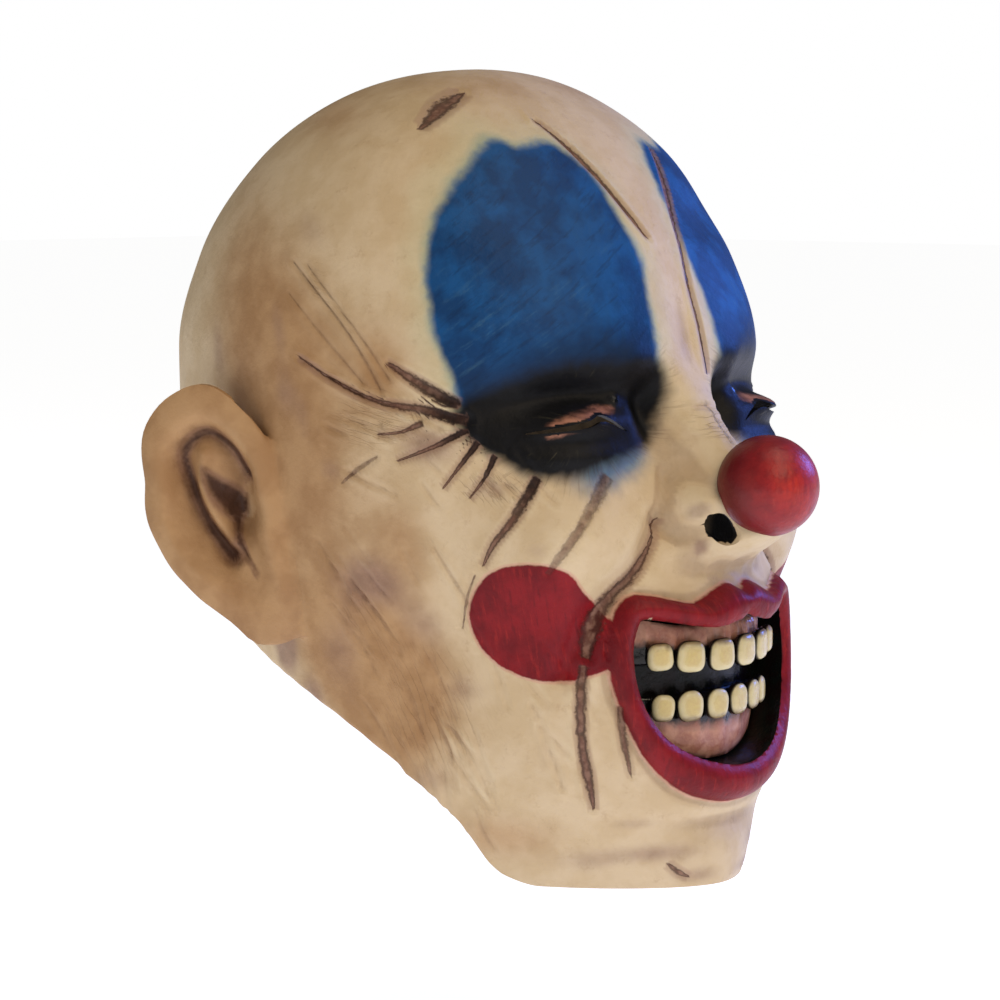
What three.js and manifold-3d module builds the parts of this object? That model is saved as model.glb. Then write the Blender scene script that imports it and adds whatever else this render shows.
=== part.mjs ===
// A full-head clown mask of painted latex: a hollow grinning head with large ears, ball nose, gums and teeth.
// Millimetres. The origin is inside the top of the head, where the wearer's crown carries the mask.
// +Z is up, the face looks along -Y, and the mask's own right ear is on the -X side.
import * as THREE from "three";
import { mergeVertices } from "three/addons/utils/BufferGeometryUtils.js";
import Module from "manifold-3d";

const wasm = await Module();
wasm.setup();

// Head: outside sizes
const HEIGHT = 260; // crown to the neck edge under the chin
const HALF_WIDTH = 91.5; // midline to the side of the head above the ears
const FACE_REACH = 96; // forward of the origin at eye level
const SKULL_REACH = 108; // behind the origin
const WALL = 2; // latex
const GAP = 0.3; // between a piece and what it sits on

// Face: how far each form stands proud of the head or sinks into it
const EYE_DEPTH = 8.5;
const CHEEK_RISE = 9.5;
const NOSE_RISE = 24;
const MUZZLE_RISE = 4.7;
const LIP_RISE = 3.7;
const FOLD_DEPTH = 4.7;
const EYE_SLIT = 2; // height of the slit that the wearer sees through
const NOSTRIL_RADIUS = 4;

// Nose ball
const BALL_RADIUS = 16;
const BALL_WALL = 2;
const BALL_SEAT = 2.6; // its centre in front of the nose's skin
const BALL_DOWN = 0.521; // share of HEIGHT

// Mouth
const MOUTH_HALF_WIDTH = 48.4; // midline to the outer corner of the lips, round the face
const MOUTH_DEPTH = 16.4; // pocket floor behind the muzzle's surface
const ARCH_RADIUS = 41.5; // dental arch, seen from above
const FLOOR_RADIUS = 57; // pocket floor, seen from above
const GUM_RISE = 4.2; // gum ridges in front of the pocket floor
const OVERBITE = 2.4; // upper arch in front of the lower one
const TOOTH_WIDTH = 10;
const TOOTH_HEIGHT = 10.4;
const TOOTH_THICKNESS = 4.4;

// Ears
const EAR_HEIGHT = 87;
const EAR_THICKNESS = 5;
const EAR_FLARE = 24; // degrees out from the side of the head
const HELIX_RISE = 6; // rolled rim above the ear's face
const BOWL_DEPTH = 9;
const GROOVE_DEPTH = 5;

// How finely the surfaces are faceted. The skin's two faces share one net, so that its wall stays even.
const NET = { columns: 44, crownRows: 5, faceRows: 26 };
const LIP_STEPS = 44; // round the mouth
const EAR_STEPS = 26; // round each ear

// A table with named columns
function table(names, ...rows) {
  return rows.map((row) => Object.fromEntries(names.map((name, i) => [name, row[i]])));
}

// Level sections of the bare head. drop is a share of HEIGHT below the crown, width of HALF_WIDTH,
// front of FACE_REACH and back of SKULL_REACH. square is the power of the front's superellipse.
const SECTIONS = table(
  ["drop", "width", "front", "back", "square"],
  [0.0, 0.0, 0.0, 0.0, 2.1],
  [0.008, 0.227, 0.185, 0.231, 2.1],
  [0.04, 0.489, 0.38, 0.452, 2.1],
  [0.12, 0.773, 0.641, 0.702, 2.1],
  [0.24, 0.943, 0.859, 0.913, 2.1],
  [0.36, 1.0, 0.967, 1.0, 2.1],
  [0.46, 1.0, 1.0, 0.99, 2.15],
  [0.6, 0.966, 1.065, 0.904, 2.15],
  [0.72, 0.898, 1.13, 0.712, 2.1],
  [0.86, 0.807, 1.168, 0.596, 1.95],
  [0.98, 0.716, 1.12, 0.538, 1.8],
  [1.08, 0.636, 1.054, 0.481, 1.75],
);

// The open neck edge: its drop by the angle round the head from the face's midline
const NECK_EDGE = table(
  ["turn", "drop"],
  [0, 1.0],
  [47, 1.0],
  [54, 0.988],
  [63, 0.916],
  [77, 0.84],
  [95, 0.768],
  [130, 0.712],
  [180, 0.708],
);

// Rounded forms of the face, the same on both sides. across and wide are shares of HALF_WIDTH round the
// head from the midline, down and tall are shares of HEIGHT, rise is a share of size, turn is in degrees.
const FORMS = table(
  ["name", "across", "down", "wide", "tall", "rise", "size", "turn", "power"],
  ["forehead dip", 0.455, 0.184, 0.386, 0.056, -0.3, EYE_DEPTH, 0, 1],
  ["brow", 0.5, 0.312, 0.43, 0.08, 0.12, EYE_DEPTH, 0, 1],
  ["inner brow", 0.25, 0.36, 0.16, 0.036, 0.24, EYE_DEPTH, -15, 1],
  ["frown valley", 0.0, 0.336, 0.1, 0.088, -0.18, EYE_DEPTH, 0, 1],
  ["eye socket", 0.5, 0.4, 0.41, 0.044, -0.95, EYE_DEPTH, 4, 1],
  ["inner eye corner", 0.205, 0.416, 0.102, 0.06, -0.95, EYE_DEPTH, 0, 1],
  ["closed lid", 0.523, 0.424, 0.227, 0.032, 1.05, EYE_DEPTH, 4, 1],
  ["eye bag", 0.523, 0.468, 0.295, 0.024, 0.36, EYE_DEPTH, 2, 1],
  ["cheek", 0.59, 0.568, 0.386, 0.112, 1, CHEEK_RISE, 20, 1],
  ["cheek hollow", 1.09, 0.704, 0.5, 0.16, -0.44, CHEEK_RISE, 0, 1],
  ["temple", 1.27, 0.328, 0.41, 0.136, -0.28, CHEEK_RISE, 0, 1],
  ["muzzle", 0.0, 0.744, 0.59, 0.176, 1, MUZZLE_RISE, 0, 1.6],
  ["fold under the lip", 0.0, 0.92, 0.386, 0.028, -0.64, MUZZLE_RISE, 0, 1],
  ["chin", 0.0, 0.976, 0.34, 0.056, 0.32, MUZZLE_RISE, 0, 1],
  ["snout", 0.0, 0.68, 0.42, 0.18, 1.3, MUZZLE_RISE, 0, 1],
  ["nostril wing", 0.156, 0.532, 0.083, 0.036, 0.36, NOSE_RISE, 0, 1],
);

// Creases, each a run of points [across, down] in the same shares, with its half width and depth
const CREASES = [
  { wide: 0.035, depth: 0.45, run: [[0.2, 0.495], [0.225, 0.525], [0.25, 0.55], [0.2, 0.572]] },
  { wide: 0.075, depth: 0.8, run: [[0.26, 0.552], [0.36, 0.6], [0.47, 0.632], [0.57, 0.672], [0.64, 0.728]] },
];

// Bridge of the nose: where it starts, is full and ends, in shares of HEIGHT, and half widths of HALF_WIDTH
const BRIDGE = { root: 0.336, brow: 0.4, tip: 0.552, underside: 0.576, lip: 0.62, thin: 0.097, broad: 0.16 };

// Nostrils: place as shares of HALF_WIDTH and HEIGHT, sizes of NOSTRIL_RADIUS, slant in degrees
const NOSTRIL = { across: 0.12, down: 0.567, wide: 0.85, long: 2.4, tall: 1.1, slant: 30 };

// Lips seen from the mouth's centre: angle up from the level, and both edges as shares of MOUTH_HALF_WIDTH
const MOUTH_DOWN = 0.744;
const LIPS = table(
  ["angle", "inner", "outer"],
  [-90, 0.56, 0.805],
  [-70, 0.57, 0.82],
  [-50, 0.61, 0.845],
  [-30, 0.675, 0.855],
  [-10, 0.735, 0.885],
  [8, 0.785, 0.945],
  [20, 0.82, 0.98],
  [30, 0.83, 1.0],
  [37, 0.66, 0.968],
  [43, 0.527, 0.839],
  [48, 0.462, 0.71],
  [55, 0.409, 0.615],
  [66, 0.376, 0.602],
  [80, 0.366, 0.613],
  [90, 0.387, 0.548],
);

// The slit of the right eye, in the same shares as the creases
const EYE_LINE = [[0.33, 0.44], [0.43, 0.424], [0.51, 0.432], [0.7, 0.44]];

// Ear outline from its centre: angle from straight back, up over the top, reach as a share of half EAR_HEIGHT
const EAR_OUTLINE = table(
  ["angle", "reach"],
  [0, 0.56],
  [20, 0.6],
  [50, 0.86],
  [68, 0.95],
  [82, 0.98],
  [104, 0.84],
  [123, 0.73],
  [152, 0.58],
  [192, 0.58],
  [218, 0.79],
  [234, 1.08],
  [243, 1.1],
  [253, 0.98],
  [262, 0.8],
  [276, 0.67],
  [300, 0.56],
  [331, 0.52],
  [360, 0.56],
);
// Lines on the ear's face from its centre, back and up, as shares of half EAR_HEIGHT
const EAR_GROOVE = [
  [-0.2, 0.3], [-0.1, 0.5], [0.1, 0.62], [0.29, 0.45], [0.24, 0.17], [0.12, -0.08], [-0.06, -0.3],
];
const EAR_RIDGE = [[0.1, 0.45], [0.12, 0.22], [0.02, -0.03], [-0.09, -0.2]];
const EAR_BOWL = { back: -0.14, up: 0.04, wide: 0.22, tall: 0.36 };
const EAR_ROOT = { from: -0.2, bend: 0.65 }; // where the ear starts to bend in to the head, and how hard
const EAR_PLACE = { down: 0.553, out: 1.074, back: 0.202 }; // shares of HEIGHT, HALF_WIDTH and SKULL_REACH

// Rows of teeth: level as a share of HEIGHT below the crown, where the three teeth of a side stand off the
// midline as shares of MOUTH_HALF_WIDTH, and the width of the first two as a share of TOOTH_WIDTH
const TEETH = {
  upper: { down: 0.712, places: [0.122, 0.362, 0.556], wide: 1.05, forward: OVERBITE },
  lower: { down: 0.774, places: [0.108, 0.322, 0.502], wide: 0.96, forward: 0 },
};
const SIDE_TOOTH = 0.84; // size of the third tooth beside the others
const TOOTH_GRIP = 0.28; // the gum ends this share of TOOTH_HEIGHT towards the root from the tooth's middle
const TOOTH_TAPER = 0.1; // how much narrower the root is than the middle
const BLOCK = 0.55; // how square a tooth is: 1 is round

const degrees = THREE.MathUtils.degToRad;
const clamp = THREE.MathUtils.clamp;
const ease = THREE.MathUtils.smoothstep;

// A smooth curve through one column of a table, which never swings past the rows
function along(rows, by, column, x) {
  const last = rows.length - 1;
  const at = clamp(x, rows[0][by], rows[last][by]);
  let k = 1;
  while (k < last && rows[k][by] < at) k += 1;
  const rise = (i) => (rows[i][column] - rows[i - 1][column]) / (rows[i][by] - rows[i - 1][by]);
  const slope = (i) => {
    if (i === 0) return rise(1);
    if (i === last) return rise(last);
    const [before, after] = [rise(i), rise(i + 1)];
    return before * after > 0 ? (2 * before * after) / (before + after) : 0;
  };
  const [from, to] = [rows[k - 1], rows[k]];
  const span = to[by] - from[by];
  const t = (at - from[by]) / span;
  const bend = (2 * t - 3) * t * t;
  const swing = span * (t * (1 - t) * (1 - t) * slope(k - 1) - t * t * (1 - t) * slope(k));
  return from[column] * (1 + bend) - to[column] * bend + swing;
}

for (const row of SECTIONS) row.root = Math.sqrt(row.drop);

// The bare head's level section at a drop below the crown
function section(drop) {
  const root = Math.sqrt(drop / HEIGHT);
  return {
    z: WALL - drop,
    width: HALF_WIDTH * along(SECTIONS, "root", "width", root),
    front: FACE_REACH * along(SECTIONS, "root", "front", root),
    back: SKULL_REACH * along(SECTIONS, "root", "back", root),
    square: along(SECTIONS, "root", "square", root),
  };
}

// A point of a section, by the angle from the face's midline, positive towards +X
function sectionPoint(level, turn) {
  const faces = Math.cos(turn) > 0;
  const power = 2 / (faces ? level.square : 2.1);
  const bow = (v) => Math.sign(v) * Math.abs(v) ** power;
  const depth = faces ? level.front : level.back;
  return new THREE.Vector3(level.width * bow(Math.sin(turn)), -depth * bow(Math.cos(turn)), level.z);
}

// Distance round a section from the face's midline to an angle, and the angle at a distance
const STEP = degrees(2);
function girth(level, turn) {
  let sum = 0;
  let from = sectionPoint(level, 0);
  for (let at = 0; at < Math.abs(turn) - 1e-6; ) {
    at = Math.min(at + STEP, Math.abs(turn));
    const to = sectionPoint(level, at);
    sum += to.distanceTo(from);
    from = to;
  }
  return sum * Math.sign(turn);
}
function turnAt(level, across) {
  let sum = 0;
  let from = sectionPoint(level, 0);
  for (let at = STEP; at <= Math.PI; at += STEP) {
    const to = sectionPoint(level, at);
    const part = to.distanceTo(from);
    if (sum + part >= Math.abs(across)) {
      return Math.sign(across) * (at - STEP + (STEP * (Math.abs(across) - sum)) / part);
    }
    sum += part;
    from = to;
  }
  return Math.sign(across) * Math.PI;
}

// Points of a run made rounder, and the shortest distance to it
function curve(run, steps = 5) {
  const points = run.map(([x, y]) => new THREE.Vector3(x, y, 0));
  return new THREE.CatmullRomCurve3(points).getPoints((run.length - 1) * steps);
}
function distanceTo(points, x, y) {
  const here = new THREE.Vector3(x, y, 0);
  const near = new THREE.Vector3();
  let best = Infinity;
  for (let i = 1; i < points.length; i += 1) {
    new THREE.Line3(points[i - 1], points[i]).closestPointToPoint(here, true, near);
    best = Math.min(best, near.distanceTo(here));
  }
  return best;
}
const creaseLines = CREASES.map((crease) => ({
  wide: crease.wide * HALF_WIDTH,
  depth: crease.depth * FOLD_DEPTH,
  points: curve(crease.run.map(([a, d]) => [a * HALF_WIDTH, d * HEIGHT])),
}));

const bell = (share) => Math.exp(-2.5 * share);

// How far the painted surface stands off the bare head
function relief(across, drop) {
  const side = Math.abs(across);
  let rise = 0;
  for (const form of FORMS) {
    const x = side - form.across * HALF_WIDTH;
    const y = drop - form.down * HEIGHT;
    const [c, s] = [Math.cos(degrees(form.turn)), Math.sin(degrees(form.turn))];
    const u = (x * c + y * s) / (form.wide * HALF_WIDTH);
    const v = (y * c - x * s) / (form.tall * HEIGHT);
    rise += form.rise * form.size * bell((u * u + v * v) ** form.power);
  }
  for (const crease of creaseLines) {
    rise -= crease.depth * bell((distanceTo(crease.points, side, drop) / crease.wide) ** 2);
  }
  const down = drop / HEIGHT;
  const spread = clamp((down - BRIDGE.brow) / (BRIDGE.underside - BRIDGE.brow), 0, 1);
  const half = HALF_WIDTH * THREE.MathUtils.lerp(BRIDGE.thin, BRIDGE.broad, spread);
  const fall = 1 - ease(down, BRIDGE.underside, BRIDGE.lip);
  const climb = 0.1 + 0.9 * ease(down, BRIDGE.brow - 0.016, BRIDGE.tip);
  const crest = climb * fall * ease(down, BRIDGE.root, BRIDGE.brow);
  return rise + NOSE_RISE * crest * Math.exp(-1.2 * (side / half) ** 2.6);
}

// A point off the bare head: lift is measured square to the finished surface, past its relief
function skinPoint(turn, drop, lift) {
  const level = section(drop);
  const at = sectionPoint(level, turn);
  const across = girth(level, turn);
  const nudge = 0.01;
  const ahead = sectionPoint(level, turn + nudge).sub(sectionPoint(level, turn - nudge));
  const below = sectionPoint(section(drop + 0.5), turn).sub(sectionPoint(section(drop - 0.5), turn));
  const out = below.cross(ahead).normalize();
  const step = 1;
  const slope = Math.hypot(
    (relief(across + step, drop) - relief(across - step, drop)) / (2 * step),
    (relief(across, drop + step) - relief(across, drop - step)) / (2 * step),
  );
  const reach = relief(across, drop) + lift * Math.min(Math.hypot(1, slope), 2.4);
  return at.addScaledVector(out, reach);
}
const facePoint = (across, drop, lift = 0) => skinPoint(turnAt(section(drop), across), drop, lift);

// Solids from vertices and triangles, and back to a mesh
function solid(vertices, triangles) {
  const geometry = new THREE.BufferGeometry().setFromPoints(vertices);
  geometry.setIndex(triangles.flat());
  return solidOf(geometry);
}
function solidOf(geometry) {
  const bare = geometry.clone();
  bare.deleteAttribute("normal");
  bare.deleteAttribute("uv");
  const merged = mergeVertices(bare, 1e-4);
  return new wasm.Manifold(
    new wasm.Mesh({
      numProp: 3,
      vertProperties: merged.attributes.position.array,
      triVerts: new Uint32Array(merged.index.array),
    }),
  );
}
function piece(name, body, colour, roughness) {
  const { vertProperties, triVerts } = body.getMesh();
  const geometry = new THREE.BufferGeometry();
  geometry.setAttribute("position", new THREE.BufferAttribute(vertProperties, 3));
  geometry.setIndex(new THREE.BufferAttribute(triVerts, 1));
  geometry.computeVertexNormals();
  const material = new THREE.MeshStandardMaterial({ color: colour, roughness, metalness: 0 });
  const mesh = new THREE.Mesh(geometry, material);
  mesh.name = name;
  return mesh;
}

// A solid of stacked closed rings, each with as many points, with a fan to a point at both ends
function stack(rings, first, last) {
  const n = rings[0].length;
  const vertices = [first, ...rings.flat(), last];
  const index = (ring, i) => 1 + ring * n + (i % n);
  const triangles = [];
  for (let i = 0; i < n; i += 1) {
    triangles.push([0, index(0, i), index(0, i + 1)]);
    for (let ring = 1; ring < rings.length; ring += 1) {
      triangles.push([index(ring - 1, i), index(ring, i), index(ring, i + 1)]);
      triangles.push([index(ring - 1, i), index(ring, i + 1), index(ring - 1, i + 1)]);
    }
    triangles.push([vertices.length - 1, index(rings.length - 1, i + 1), index(rings.length - 1, i)]);
  }
  return solid(vertices, triangles);
}
// A closed hoop of rings, the last one joined to the first
function loop(rings) {
  const n = rings[0].length;
  const triangles = [];
  rings.forEach((ring, r) => {
    const next = (r + 1) % rings.length;
    for (let i = 0; i < n; i += 1) {
      const j = (i + 1) % n;
      triangles.push([r * n + i, next * n + i, next * n + j], [r * n + i, next * n + j, r * n + j]);
    }
  });
  return solid(rings.flat(), triangles);
}
const middle = (points) =>
  points.reduce((sum, p) => sum.add(p), new THREE.Vector3()).divideScalar(points.length);

// The head as a closed dome: finer columns round the face, finer rows below the forehead
const CROWN = 0.3;
function dome(lift, past = 0) {
  const rings = [];
  const count = NET.crownRows + NET.faceRows;
  for (let row = 1; row <= count; row += 1) {
    const high = row <= NET.crownRows;
    const share = high
      ? CROWN * (row / NET.crownRows) ** 1.6
      : CROWN + ((1 - CROWN) * (row - NET.crownRows)) / NET.faceRows;
    const ring = [];
    for (let column = 0; column < NET.columns; column += 1) {
      const u = (2 * column) / NET.columns - 1;
      const turn = Math.PI * Math.sign(u) * (0.42 * Math.abs(u) + 0.58 * Math.abs(u) ** 2.2);
      const edge = HEIGHT * along(NECK_EDGE, "turn", "drop", THREE.MathUtils.radToDeg(Math.abs(turn)));
      ring.push(skinPoint(turn, share * edge + (row === count ? past : 0), lift));
    }
    rings.push(ring);
  }
  return stack(rings, new THREE.Vector3(0, 0, WALL + lift), middle(rings.at(-1)));
}

// A point of the lips: angle round the mouth, share of the way from their inner to their outer edge
function lipPoint(angle, share, lift) {
  const up = angle <= 90 ? angle : 180 - angle;
  const inner = along(LIPS, "angle", "inner", up);
  const radius = MOUTH_HALF_WIDTH * (inner + share * (along(LIPS, "angle", "outer", up) - inner));
  const across = radius * Math.cos(degrees(angle));
  return facePoint(across, MOUTH_DOWN * HEIGHT - radius * Math.sin(degrees(angle)), lift);
}
const lipAngles = Array.from({ length: LIP_STEPS }, (_, i) => -90 + (i * 360) / LIP_STEPS);

// The lips: a full rounded band round the mouth, rooted in the skin
function lips() {
  const profile = [
    [-0.02, -1], [0.02, 0.6], [0.25, 0.92], [0.55, 1], [0.82, 0.72], [1.14, -0.45], [0.8, -0.7],
  ];
  const rings = profile.map(([share, rise]) =>
    lipAngles.map((angle) => lipPoint(angle, share, rise * (rise > 0 ? LIP_RISE : WALL))),
  );
  return loop(rings);
}

// The pocket behind the lips: the lips' inner outline, run straight back to a bowed floor
const lipOutline = lipAngles.map((angle) => lipPoint(angle, 0, 0));
const mouthCentre = middle(lipOutline);
const muzzle = -facePoint(0, MOUTH_DOWN * HEIGHT).y;
const floorY = (x) => MOUTH_DEPTH - muzzle + (x * x) / (2 * FLOOR_RADIUS);
function pocket(grow) {
  const reach = (point, share) => {
    const arm = new THREE.Vector3(point.x - mouthCentre.x, 0, point.z - mouthCentre.z);
    arm.setLength(share * (arm.length() + grow));
    return arm.add(new THREE.Vector3(mouthCentre.x, 0, mouthCentre.z));
  };
  const front = lipOutline.map((point) => reach(point, 1).setY(-muzzle - 2 * MOUTH_DEPTH));
  const floor = [1, 0.7, 0.35].map((share) =>
    lipOutline.map((point) => {
      const at = reach(point, share);
      return at.setY(floorY(at.x) + grow);
    }),
  );
  const bottom = new THREE.Vector3(mouthCentre.x, floorY(0) + grow, mouthCentre.z);
  return stack([front, ...floor], middle(front), bottom);
}

// Height of the lips' inner edge at a place across the mouth
function mouthEdge(x, upper) {
  let best = mouthCentre.z;
  lipOutline.forEach((from, i) => {
    const to = lipOutline[(i + 1) % lipOutline.length];
    if ((from.x - x) * (to.x - x) > 0 || from.x === to.x) return;
    const z = from.z + ((to.z - from.z) * (x - from.x)) / (to.x - from.x);
    best = upper ? Math.max(best, z) : Math.min(best, z);
  });
  return best;
}

// A slit through the skin along a line on the face, pointed at both ends
function eyeSlit(side) {
  const line = curve(EYE_LINE, 3);
  const [front, rear] = [3 * WALL, -6 * WALL];
  const ring = (point, half) =>
    [[half, front], [-half, front], [-half, rear], [half, rear]].map(([up, lift]) =>
      facePoint(side * point.x * HALF_WIDTH, point.y * HEIGHT - up, lift),
    );
  const rings = line.map((point, i) => {
    const share = i / (line.length - 1);
    return ring(point, EYE_SLIT * (0.07 + 0.5 * Math.sin(Math.PI * share)));
  });
  if (side > 0) rings.reverse();
  return stack(rings, middle(rings[0]), middle(rings.at(-1)));
}

// A nostril: a long bead pushed up and back through the nose's underside
function nostril(side) {
  const at = facePoint(side * NOSTRIL.across * HALF_WIDTH, NOSTRIL.down * HEIGHT);
  const bead = new THREE.SphereGeometry(NOSTRIL_RADIUS, 10, 8);
  bead.scale(NOSTRIL.wide, NOSTRIL.long, NOSTRIL.tall);
  bead.rotateX(degrees(NOSTRIL.slant));
  bead.translate(at.x, at.y, at.z);
  return solidOf(bead);
}

// An ear: a cupped plate with a rolled rim, a bowl and an inner fold
const earGroove = curve(EAR_GROOVE);
const earRidge = curve(EAR_RIDGE);
function ear(side) {
  const half = EAR_HEIGHT / 2;
  const flare = degrees(EAR_FLARE);
  const back = new THREE.Vector3(side * Math.sin(flare), Math.cos(flare), 0);
  const out = new THREE.Vector3(side * Math.cos(flare), -Math.sin(flare), 0);
  const centre = new THREE.Vector3(
    side * EAR_PLACE.out * HALF_WIDTH,
    EAR_PLACE.back * SKULL_REACH,
    WALL - EAR_PLACE.down * HEIGHT,
  );
  const point = (angle, share, behind) => {
    const reach = share * half * along(EAR_OUTLINE, "angle", "reach", angle);
    const x = reach * Math.cos(degrees(angle));
    const y = reach * Math.sin(degrees(angle));
    const [u, v] = [x / half, y / half];
    const lobe = bell(((angle - 245) / 40) ** 2);
    let height = HELIX_RISE * (ease(share, 0.4, 0.75) - 0.35 * share ** 8) * (1 - 0.7 * lobe);
    const bowl = Math.hypot((u - EAR_BOWL.back) / EAR_BOWL.wide, (v - EAR_BOWL.up) / EAR_BOWL.tall);
    height -= BOWL_DEPTH * bell(bowl ** 2);
    height -= GROOVE_DEPTH * bell((distanceTo(earGroove, u, v) / 0.13) ** 2);
    height += 0.5 * HELIX_RISE * bell((distanceTo(earRidge, u, v) / 0.1) ** 2);
    height -= EAR_ROOT.bend * half * Math.max(0, EAR_ROOT.from - u) ** 2;
    height -= behind * EAR_THICKNESS * (1 - 0.5 * share ** 8);
    return centre.clone().addScaledVector(back, x).addScaledVector(out, height).setZ(centre.z + y);
  };
  const angles = Array.from({ length: EAR_STEPS }, (_, i) => (i * 360) / EAR_STEPS);
  if (side < 0) angles.reverse();
  const shares = [0.2, 0.4, 0.58, 0.72, 0.86, 0.96, 1];
  const face = shares.map((share) => angles.map((angle) => point(angle, share, 0)));
  const rear = [1, 0.86, 0.6, 0.3].map((share) => angles.map((angle) => point(angle, share, 1)));
  return stack([...face, ...rear], point(0, 0, 0), point(0, 0, 1));
}

// Skin: the shell with its ears and mouth pocket, cut through at the eyes and nostrils
const outside = dome(0);
const inside = dome(-WALL, 6 * WALL);
let skin = outside.add(ear(-1)).add(ear(1)).subtract(inside);
skin = skin.add(lips()).add(pocket(WALL).intersect(outside)).subtract(pocket(0));
for (const side of [-1, 1]) skin = skin.subtract(eyeSlit(side)).subtract(nostril(side));

// Nose ball: a hollow ball, open at the back where it fits over the nose
const noseTip = facePoint(0, BALL_DOWN * HEIGHT);
function ballOf(radius, columns, rows) {
  const shape = new THREE.SphereGeometry(radius, columns, rows);
  shape.rotateX(Math.PI / 2);
  shape.translate(0, noseTip.y - BALL_SEAT, noseTip.z);
  return solidOf(shape);
}
const ball = ballOf(BALL_RADIUS, 22, 12)
  .subtract(ballOf(BALL_RADIUS - BALL_WALL, 16, 8))
  .subtract(dome(GAP));

// Gums: ridges on the pocket floor that follow the dental arch, from the lip's edge to behind the teeth
const archY = (row, x) => floorY(0) - GUM_RISE - TEETH[row].forward + (x * x) / (2 * ARCH_RADIUS);
const toothZ = (row) => WALL - TEETH[row].down * HEIGHT;
function gum(row) {
  const upper = row === "upper";
  const up = upper ? 1 : -1;
  const columns = 16;
  const reach = TEETH[row].places[2] * MOUTH_HALF_WIDTH + TOOTH_WIDTH / 2;
  const free = toothZ(row) - up * TOOTH_GRIP * TOOTH_HEIGHT;
  const rings = [];
  for (let column = 0; column <= columns; column += 1) {
    const x = reach * (-1 + (2 * column) / columns);
    const taper = 1 - Math.abs(x / reach) ** 6;
    const root = mouthEdge(x, upper) - up * 2 * GAP;
    const rear = floorY(x) - GAP;
    const face = Math.min(archY(row, x), rear - WALL);
    const ridge = (share, forward) => {
      const y = rear + (face - rear) * forward * (0.45 + 0.55 * taper);
      return new THREE.Vector3(x, y, free + (root - free) * share);
    };
    const shape = [[0, 0], [0.02, 0.75], [0.14, 1], [0.5, 1], [0.85, 0.9], [1, 0.55], [1, 0]];
    const ring = shape.map(([share, forward]) => ridge(share, forward));
    rings.push(upper ? ring : ring.reverse());
  }
  return stack(rings, middle(rings[0]), middle(rings.at(-1)));
}

// A tooth: a rounded block on the arch, a little narrower at its root
function tooth(row, place) {
  const up = row === "upper" ? 1 : -1;
  const rounds = 10;
  const block = (v) => Math.sign(v) * Math.abs(v) ** BLOCK;
  const third = Math.abs(place - 3.5) > 2;
  const size = third ? SIDE_TOOTH : 1;
  const x = Math.sign(place - 3.5) * MOUTH_HALF_WIDTH * TEETH[row].places[Math.abs(place - 3.5) - 0.5];
  const lean = Math.atan2(x, ARCH_RADIUS);
  const rings = [18, 50, 90, 130, 162].map((angle) => {
    const depth = Math.cos(degrees(angle));
    const swell = Math.sin(degrees(angle)) ** 0.5;
    return Array.from({ length: rounds }, (_, i) => {
      const around = (2 * Math.PI * i) / rounds;
      const high = block(Math.sin(around)) * swell;
      const wide = block(Math.cos(around)) * swell * (1 - TOOTH_TAPER * up * high);
      return new THREE.Vector3(
        (wide * size * TEETH[row].wide * TOOTH_WIDTH) / 2,
        (-depth * TOOTH_THICKNESS) / 2,
        (high * size * TOOTH_HEIGHT) / 2,
      );
    });
  });
  const body = stack(
    rings,
    new THREE.Vector3(0, -TOOTH_THICKNESS / 2, 0),
    new THREE.Vector3(0, TOOTH_THICKNESS / 2, 0),
  );
  return body
    .rotate([0, 0, THREE.MathUtils.radToDeg(lean)])
    .translate([x, archY(row, x) - GAP - TOOTH_THICKNESS / 2 / Math.cos(lean), toothZ(row)]);
}

const mask = new THREE.Group();
mask.add(piece("mask_skin", skin, 0xcdb995, 0.55));
mask.add(piece("nose_ball", ball, 0xa8211f, 0.35));
for (const row of ["upper", "lower"]) {
  mask.add(piece(`${row}_gum`, gum(row), 0xb9776a, 0.3));
  for (let place = 1; place <= 6; place += 1) {
    mask.add(piece(`${row}_tooth_${place}`, tooth(row, place), 0xd9cfa3, 0.3));
  }
}

export default mask;
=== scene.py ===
import math

import bpy
import numpy as np
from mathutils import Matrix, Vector, kdtree


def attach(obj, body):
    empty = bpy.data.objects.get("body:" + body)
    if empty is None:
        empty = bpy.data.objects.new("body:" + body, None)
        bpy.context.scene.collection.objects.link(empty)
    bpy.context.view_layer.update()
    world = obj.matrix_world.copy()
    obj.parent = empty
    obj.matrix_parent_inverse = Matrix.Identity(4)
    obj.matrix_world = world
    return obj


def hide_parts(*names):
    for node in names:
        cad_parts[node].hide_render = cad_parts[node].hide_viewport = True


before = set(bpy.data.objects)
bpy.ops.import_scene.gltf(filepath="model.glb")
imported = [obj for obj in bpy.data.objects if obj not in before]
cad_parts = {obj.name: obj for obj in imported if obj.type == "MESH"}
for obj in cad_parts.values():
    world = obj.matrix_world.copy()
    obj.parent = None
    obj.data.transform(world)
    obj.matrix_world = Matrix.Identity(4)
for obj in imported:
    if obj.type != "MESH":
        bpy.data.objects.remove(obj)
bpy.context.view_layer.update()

# Camera: the mask is seen from its own right, a little above, with a long portrait lens.
# It is held up in front of the lens, so nothing stands under it.
look_at = Vector((0, 0, -0.1384))
azimuth, elevation, distance = math.radians(-47), math.radians(6), 1.04
away = Vector((
    math.sin(azimuth) * math.cos(elevation),
    -math.cos(azimuth) * math.cos(elevation),
    math.sin(elevation),
))
camera = bpy.data.objects.new("camera", bpy.data.cameras.new("camera"))
camera.location = look_at + distance * away
camera.rotation_euler = (-away).to_track_quat("-Z", "Y").to_euler()
camera.data.lens, camera.data.sensor_width = 110.1, 36
camera.data.shift_x, camera.data.shift_y = 0.022, -0.014
bpy.context.scene.collection.objects.link(camera)
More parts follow.
